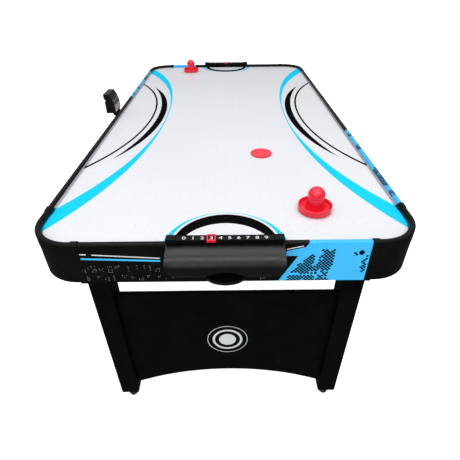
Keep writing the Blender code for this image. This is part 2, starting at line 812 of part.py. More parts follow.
def scoreboard_lens(end, front_shell, root):
    """Display window in the front shell, flush with its face, and the hole that it fills."""
    middle = (BOARD_Y0 + BOARD_Y1) / 2 - end_sign(end) * LENS_OFFSET
    hole = board_box(BOARD_FACE - BEYOND, BOARD_FACE + 2 * BOARD_SHELL, middle - LENS_HALF,
                     middle + LENS_HALF, LENS_LOW, LENS_HIGH)
    boolean(front_shell, cutter(f"cut_lens_{end}", hole, root))
    half = LENS_HALF - GAP
    lens = board_box(BOARD_FACE - GAP, BOARD_FACE + BOARD_SHELL, middle - half, middle + half, LENS_LOW + GAP,
                     LENS_HIGH - GAP)
    place(f"scoreboard_lens_{end}", lens, smoked_lens(), root)


def scoreboard_display(root):
    """Circuit board behind the lenses."""
    face = BOARD_FACE + 2 * BOARD_SHELL
    margin = 0.006
    board = board_box(face, face + 0.0016, BOARD_Y0 + margin, BOARD_Y1 - margin, LENS_LOW, LENS_HIGH + 0.002)
    place("scoreboard_display", board, circuit_green(), root)


def reset_button(rear_shell, root):
    """Sprung button through the top of the scoreboard."""
    centre = board_point(BUTTON_OUT, (BOARD_Y0 + BOARD_Y1) / 2, 0.0)
    hole = upright_cylinder(BUTTON_R + 0.0005, BOARD_HIGH - BEYOND, BOARD_HIGH + BEYOND, centre, 20)
    boolean(rear_shell, cutter("cut_button", hole, root))
    low = BOARD_HIGH - 0.0075
    top = BOARD_HIGH + 0.0025
    chamfer = 0.0008
    profile = [(0.0, low), (BUTTON_R, low), (BUTTON_R, top - chamfer), (BUTTON_R - chamfer, top), (0.0, top)]
    obj = place("scoreboard_button", turned_mesh(profile, centre, 20), red_plastic(), root)
    set_origin(obj, (centre[0], centre[1], BOARD_HIGH))


def scoreboard_bracket(root):
    """Plate that holds the scoreboard clear of the rail, screwed to the left apron's face."""
    shelf = BOARD_LOW - GAP
    reach = BRACKET_REACH
    outline = [(GAP, BRACKET_LOW), (0.004, BRACKET_LOW), (0.004, shelf - 0.0147), (reach, shelf - 0.0062),
               (reach, shelf), (0.004, shelf), (GAP, shelf - 0.0047)]
    rings = [[board_point(out, y, z) for out, z in outline] for y in (BOARD_Y0 + 0.008, BOARD_Y1 - 0.008)]
    place("scoreboard_bracket", loft(rings), black_plastic(), root)


# ---- power ----

def side_box(out0, out1, middle_y, half_y, half_z):
    """Box on the right apron's face, about the middle height of the power plate."""
    return box_mesh((HALF_W + out0, middle_y - half_y, POWER_Z - half_z),
                    (HALF_W + out1, middle_y + half_y, POWER_Z + half_z))


def power_plate(root):
    """Thin plate over a pocket in the right apron, with a hole for the switch and one for the inlet."""
    pocket = side_box(-POCKET_DEEP, BEYOND, POWER_Y, PLATE_HALF_Y - 0.003, PLATE_HALF_Z - 0.003)
    boolean(bpy.data.objects["apron_right"], cutter("cut_power_pocket", pocket, root))
    sheet = side_box(GAP, PLATE_PROUD, POWER_Y, PLATE_HALF_Y, PLATE_HALF_Z)
    plate = place("power_plate", sheet, black_plastic(), root)
    for name, y, half_y, half_z in (("switch", SWITCH_Y, 0.0100, 0.0065), ("inlet", INLET_Y, 0.0080, 0.0080)):
        hole = side_box(-BEYOND, BEYOND, y, half_y, half_z)
        boolean(plate, cutter(f"cut_{name}", hole, root))


def power_switch(root):
    """Rocker, a shallow V in plan, that pivots on an upright axis and rests tipped to its off side."""
    outline = [(-0.0070, -0.0070), (-0.0070, 0.0070), (0.0008, 0.0088), (0.0, 0.0), (0.0008, -0.0088)]
    half_z = 0.0060
    levels = (POWER_Z - half_z, POWER_Z + half_z)
    rings = [[(HALF_W + out, SWITCH_Y + along, z) for out, along in outline] for z in levels]
    switch = place("power_switch", loft(rings), black_plastic(), root)
    set_origin(switch, (HALF_W - SWITCH_PIVOT, SWITCH_Y, POWER_Z))
    switch.rotation_euler.z = -radians(SWITCH_TILT)


def power_inlet(root):
    """Socket block with a blind bore for a low-voltage barrel plug."""
    half = 0.0080 - GAP
    socket = place("power_inlet", side_box(-0.010, 0.0018, INLET_Y, half, half), black_plastic(), root)
    rings = []
    steps = 20
    for out in (-SOCKET_DEEP, BEYOND):
        ring = []
        for i in range(steps):
            angle = 2 * pi * i / steps
            ring.append((HALF_W + out, INLET_Y + SOCKET_R * cos(angle), POWER_Z + SOCKET_R * sin(angle)))
        rings.append(ring)
    boolean(socket, cutter("cut_socket", loft(rings), root))


def main():
    clear_scene()
    root = bpy.data.objects.new("table", None)
    bpy.context.collection.objects.link(root)
    root.location = (SHIFT_X, 0.0, 0.0)
    playfield(root)
    for side in ("left", "right"):
        side_apron(side, root)
        rail_strip(side, root)
    plenum(root)
    fan_housing(root)
    fan_motor(root)
    fan_rotor(root)
    fan_guard(root)
    for end in ("near", "far"):
        end_apron(end, root)
        goal_liner(end, root)
        goal_hood(end, root)
        puck_tray(end, root)
        scorer_bar(end, root)
        score_marker(end, root)
        end_panel(end, root)
        mallet(end, root)
        for side in ("left", "right"):
            corner_casting(end, side, root)
            bolt_cap(end, side, root)
            leg(end, side, root)
            leveller(end, side, root)
    puck(root)
    front_shell, rear_shell = scoreboard_shells(root)
    for end in ("near", "far"):
        scoreboard_lens(end, front_shell, root)
    scoreboard_display(root)
    reset_button(rear_shell, root)
    scoreboard_bracket(root)
    power_plate(root)
    power_switch(root)
    power_inlet(root)


main()
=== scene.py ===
"""Looks of a six-foot air hockey table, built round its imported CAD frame. Metres, +Z up.

Shapes are drawn in table coordinates: x = 0 on the playing field's centre line, the near end at -Y.
The far end is the near end turned half a turn, and so are its printed graphics.
"""

from math import cos, pi, radians, sin, sqrt
from random import Random

import bmesh
import bpy
from mathutils import Matrix, Vector
from mathutils.geometry import delaunay_2d_cdt


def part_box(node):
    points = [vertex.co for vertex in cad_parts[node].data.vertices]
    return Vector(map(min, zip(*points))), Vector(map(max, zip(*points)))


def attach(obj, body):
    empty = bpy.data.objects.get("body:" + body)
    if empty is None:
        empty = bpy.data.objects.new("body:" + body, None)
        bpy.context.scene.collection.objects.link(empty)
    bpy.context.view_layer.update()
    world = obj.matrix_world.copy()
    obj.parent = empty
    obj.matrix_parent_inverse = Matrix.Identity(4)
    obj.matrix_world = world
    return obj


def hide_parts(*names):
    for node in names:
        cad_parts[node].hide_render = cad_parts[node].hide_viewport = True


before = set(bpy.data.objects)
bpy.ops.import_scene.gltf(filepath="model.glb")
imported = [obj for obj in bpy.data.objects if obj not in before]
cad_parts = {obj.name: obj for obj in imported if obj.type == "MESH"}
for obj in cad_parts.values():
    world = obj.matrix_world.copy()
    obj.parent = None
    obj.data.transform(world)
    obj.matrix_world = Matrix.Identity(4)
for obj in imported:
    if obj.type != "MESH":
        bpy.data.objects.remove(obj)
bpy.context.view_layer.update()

ENDS = ("near", "far")
SIDES = ("left", "right")
CORNERS = [(end, side) for end in ENDS for side in SIDES]


def table_box(node):
    """A CAD node's lowest and highest corners in table coordinates."""
    low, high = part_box(node)
    return low - SHIFT, high - SHIFT


# ---- sizes read from the frame ----
SHIFT = Vector(((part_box("playfield")[0].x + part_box("playfield")[1].x) / 2, 0.0, 0.0))
GAP = 0.0003
HALF_L = table_box("apron_far")[1].y
APRON_LOW, APRON_HIGH = table_box("apron_right")
HALF_W, HEIGHT = APRON_HIGH.x, APRON_HIGH.z
APRON_BOTTOM = APRON_LOW.z
BOARD = HALF_W - APRON_LOW.x
FIELD_BOTTOM, FIELD_TOP = (corner.z for corner in table_box("playfield"))
INNER_X = HALF_W - BOARD
INNER_Y = HALF_L - BOARD
CASTING_END_X = table_box("casting_near_right")[0].x
CASTING_SIDE_Y = table_box("casting_near_right")[1].y       # where the near castings stop on the side rails
GOAL_FLOOR = table_box("goal_liner_near")[0].z - GAP
GOAL_HALF = table_box("goal_liner_near")[1].x + GAP
HOOD_LOW, HOOD_HIGH = table_box("goal_hood_near")
TRAY_LOW, TRAY_HIGH = table_box("puck_tray_near")
BAR_LOW, BAR_HIGH = table_box("scorer_bar_near")
PANEL_LOW, PANEL_HIGH = table_box("end_panel_near")

# ---- sizes of what the frame leaves plain ----
CORNER_RADIUS = 0.107
CUFF = 0.016
CUFF_PROUD = 0.002
HOLE_PITCH = 0.0311
HOLE_RADIUS = 0.0009
HOLE_SIDES = 6
HOLE_COLUMNS = 13                 # either side of the centre line
HOLE_ROWS = 28                    # in each half of the table
DIGIT_PITCH = 0.0202
DIGIT_SIZE = 0.0138
DIGIT_STRETCH = 1.35
DIGIT_RELIEF = 0.0002
BAR_TOP = 0.800
CELL = 0.0042                     # pitch of the printed checks
SQUARE = 1.30 * CELL              # side of one check, which overlaps its neighbours' corners
DOT_PITCH = 0.0042                # pitch of the fine grey dots
DOT = 0.0012
WHITE_STRIPE = 0.0030             # widths of the pin stripes
BLUE_STRIPE = 0.0052
EDGE_STRIPE = 0.0028


def sign_of(name):
    return 1 if name in ("near", "right") else -1


# ---- materials ----

EVEN = (1.0, 1.0, 1.0)


class Finish:
    """A Principled material whose patterns are added one call at a time."""

    def __init__(self, name, colour, roughness, metallic=0.0, **constants):
        self.material = bpy.data.materials.new(name)
        self.material.use_nodes = True
        self.tree = self.material.node_tree
        self.shader = self.tree.nodes["Principled BSDF"]
        self.colour = colour
        self.roughness = roughness
        self.set("Base Color", (*colour, 1.0))
        self.set("Roughness", roughness)
        self.set("Metallic", metallic)
        for socket, value in constants.items():
            self.set(socket.replace("_", " "), value)
        self.position = None

    def set(self, socket, value):
        self.shader.inputs[socket].default_value = value

    def node(self, kind, **inputs):
        made = self.tree.nodes.new(kind)
        for socket, value in inputs.items():
            made.inputs[socket.replace("_", " ")].default_value = value
        return made

    def link(self, source, target):
        self.tree.links.new(source, target)

    def coordinates(self, stretch=EVEN):
        """Object coordinates, squeezed along chosen axes."""
        if self.position is None:
            self.position = self.node("ShaderNodeTexCoord").outputs["Object"]
        mapping = self.node("ShaderNodeMapping", Scale=stretch)
        self.link(self.position, mapping.inputs["Vector"])
        return mapping.outputs["Vector"]

    def noise(self, scale, detail=3.0, stretch=EVEN):
        made = self.node("ShaderNodeTexNoise", Scale=scale, Detail=detail)
        self.link(self.coordinates(stretch), made.inputs["Vector"])
        return made.outputs["Fac"]

    def spread(self, fac, low, high, narrow=0.3):
        """Map the middle of a noise to a range."""
        made = self.node("ShaderNodeMapRange", From_Min=0.5 - narrow / 2, From_Max=0.5 + narrow / 2,
                         To_Min=low, To_Max=high)
        self.link(fac, made.inputs["Value"])
        return made.outputs["Result"]

    def vary_colour(self, scale, other, stretch=EVEN, detail=3.0, narrow=0.3):
        """Mottle from the main colour to another."""
        mix = self.node("ShaderNodeMix")
        mix.data_type = "RGBA"
        mix.inputs["A"].default_value = (*self.colour, 1.0)
        mix.inputs["B"].default_value = (*other, 1.0)
        self.link(self.spread(self.noise(scale, detail, stretch), 0.0, 1.0, narrow), mix.inputs["Factor"])
        self.link(mix.outputs["Result"], self.shader.inputs["Base Color"])
        return self

    def vary_roughness(self, scale, low, high, stretch=EVEN, detail=4.0):
        self.link(self.spread(self.noise(scale, detail, stretch), low, high), self.shader.inputs["Roughness"])
        return self

    def bump(self, scale, height, stretch=EVEN, detail=2.0):
        """Fine relief, with its height in metres."""
        made = self.node("ShaderNodeBump", Strength=1.0, Distance=height)
        self.link(self.noise(scale, detail, stretch), made.inputs["Height"])
        self.link(made.outputs["Normal"], self.shader.inputs["Normal"])
        return self


def printed_laminate(name, colour, other, shine=0.16):
    """Glossy printed playing surface, faintly mottled and rubbed by play."""
    finish = Finish(name, colour, 0.22, Specular_IOR_Level=shine)
    finish.vary_colour(2.5, other, detail=4.0)
    finish.vary_roughness(9.0, 0.20, 0.27)
    return finish.bump(420.0, 0.00001).material


def printed_film(name, colour, other, roughness=0.30, shine=0.06):
    """Satin paper film on the boards, with a fine leathery grain."""
    finish = Finish(name, colour, roughness, Specular_IOR_Level=shine)
    finish.vary_colour(14.0, other, detail=5.0)
    finish.vary_roughness(30.0, roughness - 0.05, roughness + 0.10)
    return finish.bump(900.0, 0.00004).material


def moulded(name, colour, other, roughness, grain=700.0, relief=0.00006, shine=0.5, **coat):
    """Moulded plastic with a fine texture."""
    finish = Finish(name, colour, roughness, Specular_IOR_Level=shine, **coat)
    finish.vary_colour(11.0, other, detail=4.0)
    finish.vary_roughness(24.0, roughness - 0.05, roughness + 0.07)
    return finish.bump(grain, relief).material


def brushed(name, colour, roughness, stretch):
    """Metal brushed along one axis."""
    finish = Finish(name, colour, roughness, 1.0)
    finish.vary_colour(160.0, [0.8 * c for c in colour], stretch, narrow=0.5)
    finish.vary_roughness(160.0, roughness - 0.07, roughness + 0.10, stretch)
    return finish.bump(260.0, 0.00002, stretch).material


def fibreboard():
    """Raw pressed board with short pale and dark fibres."""
    finish = Finish("fibreboard", (0.36, 0.24, 0.14), 0.85, Specular_IOR_Level=0.2)
    finish.vary_colour(240.0, (0.23, 0.14, 0.08), (1.0, 0.35, 1.0), 8.0, 0.5)
    finish.vary_roughness(60.0, 0.75, 0.95)
    return finish.bump(500.0, 0.00015, detail=6.0).material


def felt():
    finish = Finish("felt", (0.70, 0.69, 0.64), 0.95, Sheen_Weight=0.4)
    finish.vary_colour(900.0, (0.52, 0.51, 0.47), detail=6.0, narrow=0.5)
    return finish.bump(1500.0, 0.0003, detail=6.0).material


FIELD_WHITE = printed_laminate("field_white", (0.64, 0.65, 0.68), (0.62, 0.63, 0.66), 0.10)
FIELD_CYAN = printed_laminate("field_cyan", (0.011, 0.52, 0.77), (0.011, 0.49, 0.74), 0.0)
FIELD_BLACK = printed_laminate("field_black", (0.0025, 0.0025, 0.0028), (0.0040, 0.0040, 0.0044), 0.0)
FILM_BLACK = printed_film("film_black", (0.0028, 0.0028, 0.0026), (0.0040, 0.0040, 0.0037), shine=0.11)
FILM_BLUE = printed_film("film_blue", (0.024, 0.42, 0.80), (0.023, 0.40, 0.77), shine=0.35)
FILM_WHITE = printed_film("film_white", (0.62, 0.62, 0.62), (0.55, 0.55, 0.55))
FILM_GREY = printed_film("film_grey", (0.45, 0.45, 0.42), (0.36, 0.36, 0.34))
LEG_FILM = printed_film("leg_film", (0.0022, 0.0022, 0.0023), (0.0032, 0.0032, 0.0033), 0.42, 0.04)
MARK_GREY = printed_film("mark_grey", (0.52, 0.55, 0.56), (0.47, 0.50, 0.51), 0.38)
CASTING_PLASTIC = moulded("casting_plastic", (0.0032, 0.0032, 0.0029), (0.0044, 0.0044, 0.0040), 0.32,
                          shine=0.09)
HOOD_PLASTIC = moulded("hood_plastic", (0.0028, 0.0028, 0.0029), (0.0038, 0.0038, 0.0039), 0.29, shine=0.38)
BAR_PLASTIC = moulded("bar_plastic", (0.0030, 0.0030, 0.0032), (0.0042, 0.0042, 0.0045), 0.34, shine=0.12)
RED_PLASTIC = moulded("red_plastic", (0.82, 0.011, 0.036), (0.79, 0.010, 0.033), 0.20, 320.0, 0.00001,
                      shine=0.55)
SHELL_PLASTIC = moulded("shell_plastic", (0.0050, 0.0050, 0.0053), (0.0068, 0.0068, 0.0072), 0.30,
                        shine=0.20)
BUTTON_PLASTIC = moulded("button_plastic", (0.045, 0.045, 0.048), (0.060, 0.060, 0.064), 0.40)
RUBBER = moulded("rubber", (0.020, 0.020, 0.020), (0.028, 0.028, 0.027), 0.70, 500.0, 0.0001)
DIGIT_PAINT = moulded("digit_paint", (0.80, 0.80, 0.80), (0.70, 0.70, 0.70), 0.45, 900.0, 0.00002)
RAIL_METAL = brushed("rail_metal", (0.66, 0.67, 0.69), 0.34, (1.0, 0.02, 1.0))
ZINC = brushed("zinc", (0.56, 0.56, 0.55), 0.32, (1.0, 1.0, 0.2))
BLACK_STEEL = brushed("black_steel", (0.06, 0.06, 0.065), 0.38, (1.0, 1.0, 0.3))
RAW_BOARD = fibreboard()
FELT = felt()
LENS = moulded("lens", (0.26, 0.13, 0.14), (0.20, 0.09, 0.10), 0.10, 300.0, 0.00001, Coat_Weight=0.8,
               Coat_Roughness=0.04)
SEGMENT = moulded("segment", (0.10, 0.016, 0.018), (0.07, 0.012, 0.014), 0.30, 500.0, 0.00001)
CIRCUIT = moulded("circuit", (0.010, 0.10, 0.035), (0.014, 0.13, 0.05), 0.40, 250.0, 0.0001)


# ---- mesh helpers ----

CREASE = 34                       # faces that meet at more degrees than this stay sharp


def scene_object(name, data):
    obj = bpy.data.objects.new(name, data)
    bpy.context.scene.collection.objects.link(obj)
    return obj


def evaluated(obj):
    """A new mesh of an object, with its modifiers or as its curve makes it."""
    bpy.context.view_layer.update()
    return bpy.data.meshes.new_from_object(obj.evaluated_get(bpy.context.evaluated_depsgraph_get()))


def mesh_of(name, bm):
    """A new mesh of a bmesh, which is freed."""
    mesh = bpy.data.meshes.new(name)
    bm.to_mesh(mesh)
    bm.free()
    return mesh


def shaded(mesh, crease=CREASE):
    mesh.shade_smooth()
    mesh.set_sharp_from_angle(angle=radians(crease))


def piece(name, bm, materials, nodes=(), crease=CREASE, body="table"):
    """Turn a bmesh in table coordinates into a named piece that rides on a body."""
    bm.normal_update()
    bmesh.ops.recalc_face_normals(bm, faces=bm.faces)
    mesh = mesh_of(name, bm)
    mesh.transform(Matrix.Translation(SHIFT))
    for material in materials if isinstance(materials, (list, tuple)) else [materials]:
        mesh.materials.append(material)
    shaded(mesh, crease)
    obj = scene_object(name, mesh)
    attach(obj, body)
    if nodes:
        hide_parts(*nodes)
    return obj


def loft(rings):
    """Skin rings of points and close both ends."""
    bm = bmesh.new()
    rows = [[bm.verts.new(point) for point in ring] for ring in rings]
    count = len(rows[0])
    for row, following in zip(rows, rows[1:]):
        for i in range(count):
            j = (i + 1) % count
            bm.faces.new((row[i], row[j], following[j], following[i]))
    bm.faces.new(rows[0])
    bm.faces.new(list(reversed(rows[-1])))
    return bm


def turned(profile, centre=(0.0, 0.0, 0.0), segments=48, axis="Z", bm=None):
    """Turn (radius, height) points about an axis through centre; a radius of 0 makes a pole."""
    bm = bm or bmesh.new()
    centre = Vector(centre)

    def laid(a, b, h):
        return bm.verts.new(centre + Vector({"X": (h, a, b), "Y": (b, h, a), "Z": (a, b, h)}[axis]))

    rows = []
    for radius, height in profile:
        if radius < 1e-9:
            rows.append([laid(0.0, 0.0, height)])
            continue
        ring = []
        for i in range(segments):
            angle = 2 * pi * i / segments
            ring.append(laid(radius * cos(angle), radius * sin(angle), height))
        rows.append(ring)
    closed = len(rows[0]) > 1 and len(rows[-1]) > 1
    for row, following in zip(rows, rows[1:] + (rows[:1] if closed else [])):
        for i in range(segments):
            j = (i + 1) % segments
            if len(row) == 1:
                bm.faces.new((row[0], following[i], following[j]))
            elif len(following) == 1:
                bm.faces.new((row[i], row[j], following[0]))
            else:
                bm.faces.new((row[i], row[j], following[j], following[i]))
    return bm


def rounded(bm, edges, width, segments):
    bmesh.ops.bevel(bm, geom=edges, offset=width, segments=segments, affect="EDGES", profile=0.5,
                    clamp_overlap=True)
    return bm


def block(low, high, bm=None):
    bm = bm or bmesh.new()
    low, high = Vector(low), Vector(high)
    made = bmesh.ops.create_cube(bm, size=1.0)["verts"]
    middle = (low + high) / 2
    size = high - low
    for vert in made:
        vert.co = middle + Vector((vert.co.x * size.x, vert.co.y * size.y, vert.co.z * size.z))
    return bm


def stood(bm, spot, axis):
    """Move a mesh made along Z to a spot, along another axis."""
    spin = Vector((0, 0, 1)).rotation_difference(Vector(axis)).to_matrix().to_4x4()
    bmesh.ops.transform(bm, matrix=Matrix.Translation(Vector(spot)) @ spin, verts=bm.verts)
    return bm


def joined(bm, other):
    """Add another bmesh to one, and free it."""
    mesh = mesh_of("part", other)
    bm.from_mesh(mesh)
    bpy.data.meshes.remove(mesh)
    return bm


def cut(obj, tools):
    """Cut closed bmeshes in table coordinates out of a piece, for good."""
    guides = []
    for tool in tools:
        bmesh.ops.recalc_face_normals(tool, faces=tool.faces)
        mesh = mesh_of("guide", tool)
        mesh.transform(Matrix.Translation(SHIFT))
        guide = scene_object("guide", mesh)
        modifier = obj.modifiers.new("cut", "BOOLEAN")
        modifier.object = guide
        modifier.solver = "EXACT"
        guides.append(guide)
    result = evaluated(obj)
    obj.modifiers.clear()
    obj.data = result
    shaded(result)
    for guide in guides:
        bpy.data.objects.remove(guide)
    return obj


def ellipse(half_x, half_y, count, start=0.0, sweep=2 * pi, centre=(0.0, 0.0)):
    """Points of an ellipse or of a part of it, both ends included for a part."""
    whole = abs(sweep) >= 2 * pi - 1e-9
    last = count if whole else count - 1
    angles = [start + sweep * i / last for i in range(count)]
    return [(centre[0] + half_x * cos(a), centre[1] + half_y * sin(a)) for a in angles]


def anticlockwise(polygon):
    area = sum(ax * by - bx * ay for (ax, ay), (bx, by) in zip(polygon, polygon[1:] + polygon[:1]))
    return polygon if area > 0 else polygon[::-1]


def printed_sheet(outline, regions, holes=(), creases=()):
    """Cut a flat outline along the edges of its printed regions.

    regions are (material index, polygon); a later one lies over an earlier one. Returns the points
    and (triangle, material index) pairs, without the holes.
    """
    points, edges, faces = [], [], []
    layers = []
    for index, polygon in [(0, outline), *regions, *[(-1, hole) for hole in holes]]:
        first = len(points)
        points += [Vector(p) for p in anticlockwise(polygon)]
        faces.append(list(range(first, len(points))))
        layers.append(index)
    for a, b in creases:
        edges.append((len(points), len(points) + 1))
        points += [Vector(a), Vector(b)]
    made, _, triangles, _, _, sources = delaunay_2d_cdt(points, edges, faces, 1, 1e-7, True)
    kept = []
    for triangle, source in zip(triangles, sources):
        if 0 not in source:
            continue
        top = max(source)
        if layers[top] >= 0:
            kept.append((triangle, layers[top]))
    return made, kept


# ---- playing surface ----

def rounded_rectangle(half_x, half_y, radius, steps=16):
    outline = []
    for quarter, (sx, sy) in enumerate(((1, 1), (-1, 1), (-1, -1), (1, -1))):
        centre = (sx * (half_x - radius), sy * (half_y - radius))
        outline += ellipse(radius, radius, steps + 1, quarter * pi / 2, pi / 2, centre)
    return outline


def bow(apex, square, fourth):
    """A printed curve x = apex + square y^2 + fourth y^4, open towards a side rail."""
    return lambda y: apex + square * y * y + fourth * y ** 4


CYAN_INSIDE = bow(0.2443, 0.188, 0.112)
CYAN_OUTSIDE = bow(0.2488, 0.272, 0.137)
BLACK_INSIDE = bow(0.2585, 0.450, 0.637)
BLACK_OUTSIDE = bow(0.2850, 0.420, 0.100)
BLACK_REACH = 0.442                # just short of where its two edges meet
THIN_LINE = bow(0.3030, 0.420, 0.410)
THIN_WIDTH = 0.0078
THIN_REACH = 0.58
CYAN_REACH = 0.90
# circles of the goal crescents: their centre's y at the near end, and their radius
CYAN_CRESCENT = ((-0.9132, 0.1442), (-0.8982, 0.1272))
BLACK_CRESCENT = ((-0.8996, 0.1216), (-0.9279, 0.1109))


def thin_edge(y):
    """Outer edge of the thin line, which widens towards its ends."""
    return THIN_LINE(y) + THIN_WIDTH * (1 + 2 * y * y)


def band(inside, outside, reach, side, steps=72):
    """Closed strip between two bows, from y = -reach to reach."""
    rows = [reach * (2 * i / steps - 1) for i in range(steps + 1)]
    return [(side * inside(y), y) for y in rows] + [(side * outside(y), y) for y in reversed(rows)]


def arc_band(end, outer, inner, steps=40):
    """Crescent between two circles."""
    turn = sign_of(end)
    points = []
    for (centre, radius), direction in ((outer, 1), (inner, -1)):
        angles = [direction * (i / steps - 0.5) * pi + pi / 2 for i in range(steps + 1)]
        points += [(turn * radius * cos(a), turn * (centre + radius * sin(a))) for a in angles]
    return points


def field_graphics():
    regions = []
    for side in (1, -1):
        regions.append((1, band(CYAN_INSIDE, CYAN_OUTSIDE, CYAN_REACH, side)))
        regions.append((2, band(BLACK_INSIDE, BLACK_OUTSIDE, BLACK_REACH, side)))
        regions.append((2, band(THIN_LINE, thin_edge, THIN_REACH, side)))
    for end in ENDS:
        regions.append((1, arc_band(end, *CYAN_CRESCENT)))
        regions.append((2, arc_band(end, *BLACK_CRESCENT)))
    return regions


def hole_centres(half_x, half_y, radius):
    """Square grid with a column on the centre line and no row on the middle."""
    for column in range(-HOLE_COLUMNS, HOLE_COLUMNS + 1):
        for row in range(-HOLE_ROWS, HOLE_ROWS):
            x = column * HOLE_PITCH
            y = (row + 0.5) * HOLE_PITCH
            from_corner = (max(abs(x) - half_x + radius, 0.0), max(abs(y) - half_y + radius, 0.0))
            if sqrt(from_corner[0] ** 2 + from_corner[1] ** 2) < radius - 0.012:
                yield x, y


def playing_surface():
    half_x, half_y = INNER_X - GAP, INNER_Y - GAP
    radius = CORNER_RADIUS - BOARD - GAP
    outline = rounded_rectangle(half_x, half_y, radius)
    holes = [ellipse(HOLE_RADIUS, HOLE_RADIUS, HOLE_SIDES, 0.2, centre=c)
             for c in hole_centres(half_x, half_y, radius)]
    points, triangles = printed_sheet(outline, field_graphics(), holes)
    bm = bmesh.new()
    top = [bm.verts.new((p.x, p.y, FIELD_TOP)) for p in points]
    low = [bm.verts.new((p.x, p.y, FIELD_BOTTOM)) for p in points]
    for triangle, index in triangles:
        bm.faces.new([top[i] for i in triangle]).material_index = index
        bm.faces.new([low[i] for i in reversed(triangle)]).material_index = 3
    under = dict(zip(top, low))
    for edge in [e for e in bm.edges if e.is_boundary and e.verts[0] in under]:
        a, b = edge.verts
        bm.faces.new((a, b, under[b], under[a])).material_index = 3
    loose = [v for v in bm.verts if not v.link_faces]
    bmesh.ops.delete(bm, geom=loose, context="VERTS")
    piece("playing_surface", bm, [FIELD_WHITE, FIELD_CYAN, FIELD_BLACK, RAW_BOARD], ["playfield"],
          30)


# ---- rails: boards with printed film, corner castings, inner strips ----

EDGE = 0.0008
ROUND = BOARD / 2
SHOULDER = HEIGHT - ROUND          # where the half-round top starts
OVER = SHOULDER + pi * ROUND       # printed height at the end of the half-round, on the inner side
INSIDE_FOOT = OVER + SHOULDER - FIELD_TOP
FILMS = [FILM_BLACK, FILM_BLUE, FILM_WHITE, FILM_GREY]


def rail_section(grow=0.0, step_z=None):
    """Closed section of a rail: (distance inward from the outer face, z), from the middle of its foot.

    A cuff grows outward, over the top and inward above the field. step_z sets the lower part of the
    outer face back by the width of an edge.
    """
    low = APRON_BOTTOM - grow
    back = EDGE - grow if step_z else -grow
    points = [(ROUND, low), (back + EDGE, low), (back, low + EDGE)]
    if step_z:
        points += [(back, step_z - EDGE), (-grow, step_z)]
    radius = ROUND + grow
    points += ellipse(-radius, radius, 17, 0.0, pi, (ROUND, SHOULDER))
    if grow:
        points += [(BOARD + grow, FIELD_TOP + 0.0010), (BOARD, FIELD_TOP + 0.0006)]
    points += [(BOARD, low + EDGE), (BOARD - EDGE, low)]
    return points


def printed_rail(name, node, place_at, half_run, regions):
    """Rail board whose film is laid out flat, printed and wrapped round the section.

    Regions are drawn in (place along the rail, height), where height runs up the outer face and
    then over the half-round top.
    """
    section = [Vector(p) for p in rail_section()]
    ring = section + section[:1]
    lengths = [0.0]
    for a, b in zip(ring, ring[1:]):
        lengths.append(lengths[-1] + (b - a).length)
    datum = lengths[2] - (APRON_BOTTOM + EDGE)
    flat = [(index, [(u, h + datum) for u, h in polygon]) for index, polygon in regions]
    around = lengths[-1]
    outline = [(-half_run, 0.0), (half_run, 0.0), (half_run, around), (-half_run, around)]
    folds = [((-half_run, v), (half_run, v)) for v in lengths[1:-1]]
    points, triangles = printed_sheet(outline, flat, creases=folds)

    def wrapped(v):
        for i in range(len(section)):
            if v <= lengths[i + 1] + 1e-9:
                break
        share = (v - lengths[i]) / (lengths[i + 1] - lengths[i])
        return ring[i].lerp(ring[i + 1], min(max(share, 0.0), 1.0))

    bm = bmesh.new()
    verts = []
    for p in points:
        inward, z = wrapped(p.y)
        verts.append(bm.verts.new(place_at(p.x, inward, z)))
    for triangle, index in triangles:
        bm.faces.new([verts[i] for i in triangle]).material_index = index
    bmesh.ops.delete(bm, geom=[v for v in bm.verts if not v.link_faces], context="VERTS")
    bmesh.ops.remove_doubles(bm, verts=bm.verts, dist=1e-6)
    bmesh.ops.holes_fill(bm, edges=[e for e in bm.edges if e.is_boundary], sides=0)
    return piece(name, bm, FILMS, [node], 30)


def holds(polygon, x, y):
    """Whether a polygon holds a point."""
    inside = False
    for (ax, ay), (bx, by) in zip(polygon, polygon[1:] + polygon[:1]):
        if (ay > y) != (by > y) and x < ax + (y - ay) / (by - ay) * (bx - ax):
            inside = not inside
    return inside


def cells(index, polygon, pitch, size, share, chooser, checker=True):
    """Small squares on a grid inside a polygon, every other one kept, less some left out at random."""
    low = [min(p[k] for p in polygon) for k in (0, 1)]
    high = [max(p[k] for p in polygon) for k in (0, 1)]
    made = []
    for i in range(int((high[0] - low[0]) / pitch) + 1):
        for j in range(int((high[1] - low[1]) / pitch) + 1):
            x = low[0] + (i + 0.5) * pitch
            y = low[1] + (j + 0.5) * pitch
            kept = chooser.random() < share
            if kept and holds(polygon, x, y) and not (checker and (i + j) % 2):
                half = size / 2
                made.append((index, [(x - half, y - half), (x + half, y - half),
                                     (x + half, y + half), (x - half, y + half)]))
    return made


def dot_groups(start, end, bottom, top, chooser):
    """Short stacks of fine dots along a rail, with gaps between them."""
    made = []
    x = start
    while x < end:
        columns = chooser.choice((1, 2, 3, 3))
        rows = chooser.choice((3, 4, 5))
        low = bottom + 0.6 * chooser.random() * (top - bottom)
        high = min(low + rows * DOT_PITCH, top)
        right = x + columns * DOT_PITCH
        stack = [(x, low), (right, low), (right, high), (x, high)]
        made += cells(3, stack, DOT_PITCH, DOT, 0.65, chooser, checker=False)
        x = right + chooser.choice((1, 2, 4)) * DOT_PITCH
    return made


def stripe(index, start, end, width):
    """Thin band, straight up and down at its ends."""
    (ax, ay), (bx, by) = start, end
    return (index, [(ax, ay - width / 2), (bx, by - width / 2), (bx, by + width / 2), (ax, ay + width / 2)])


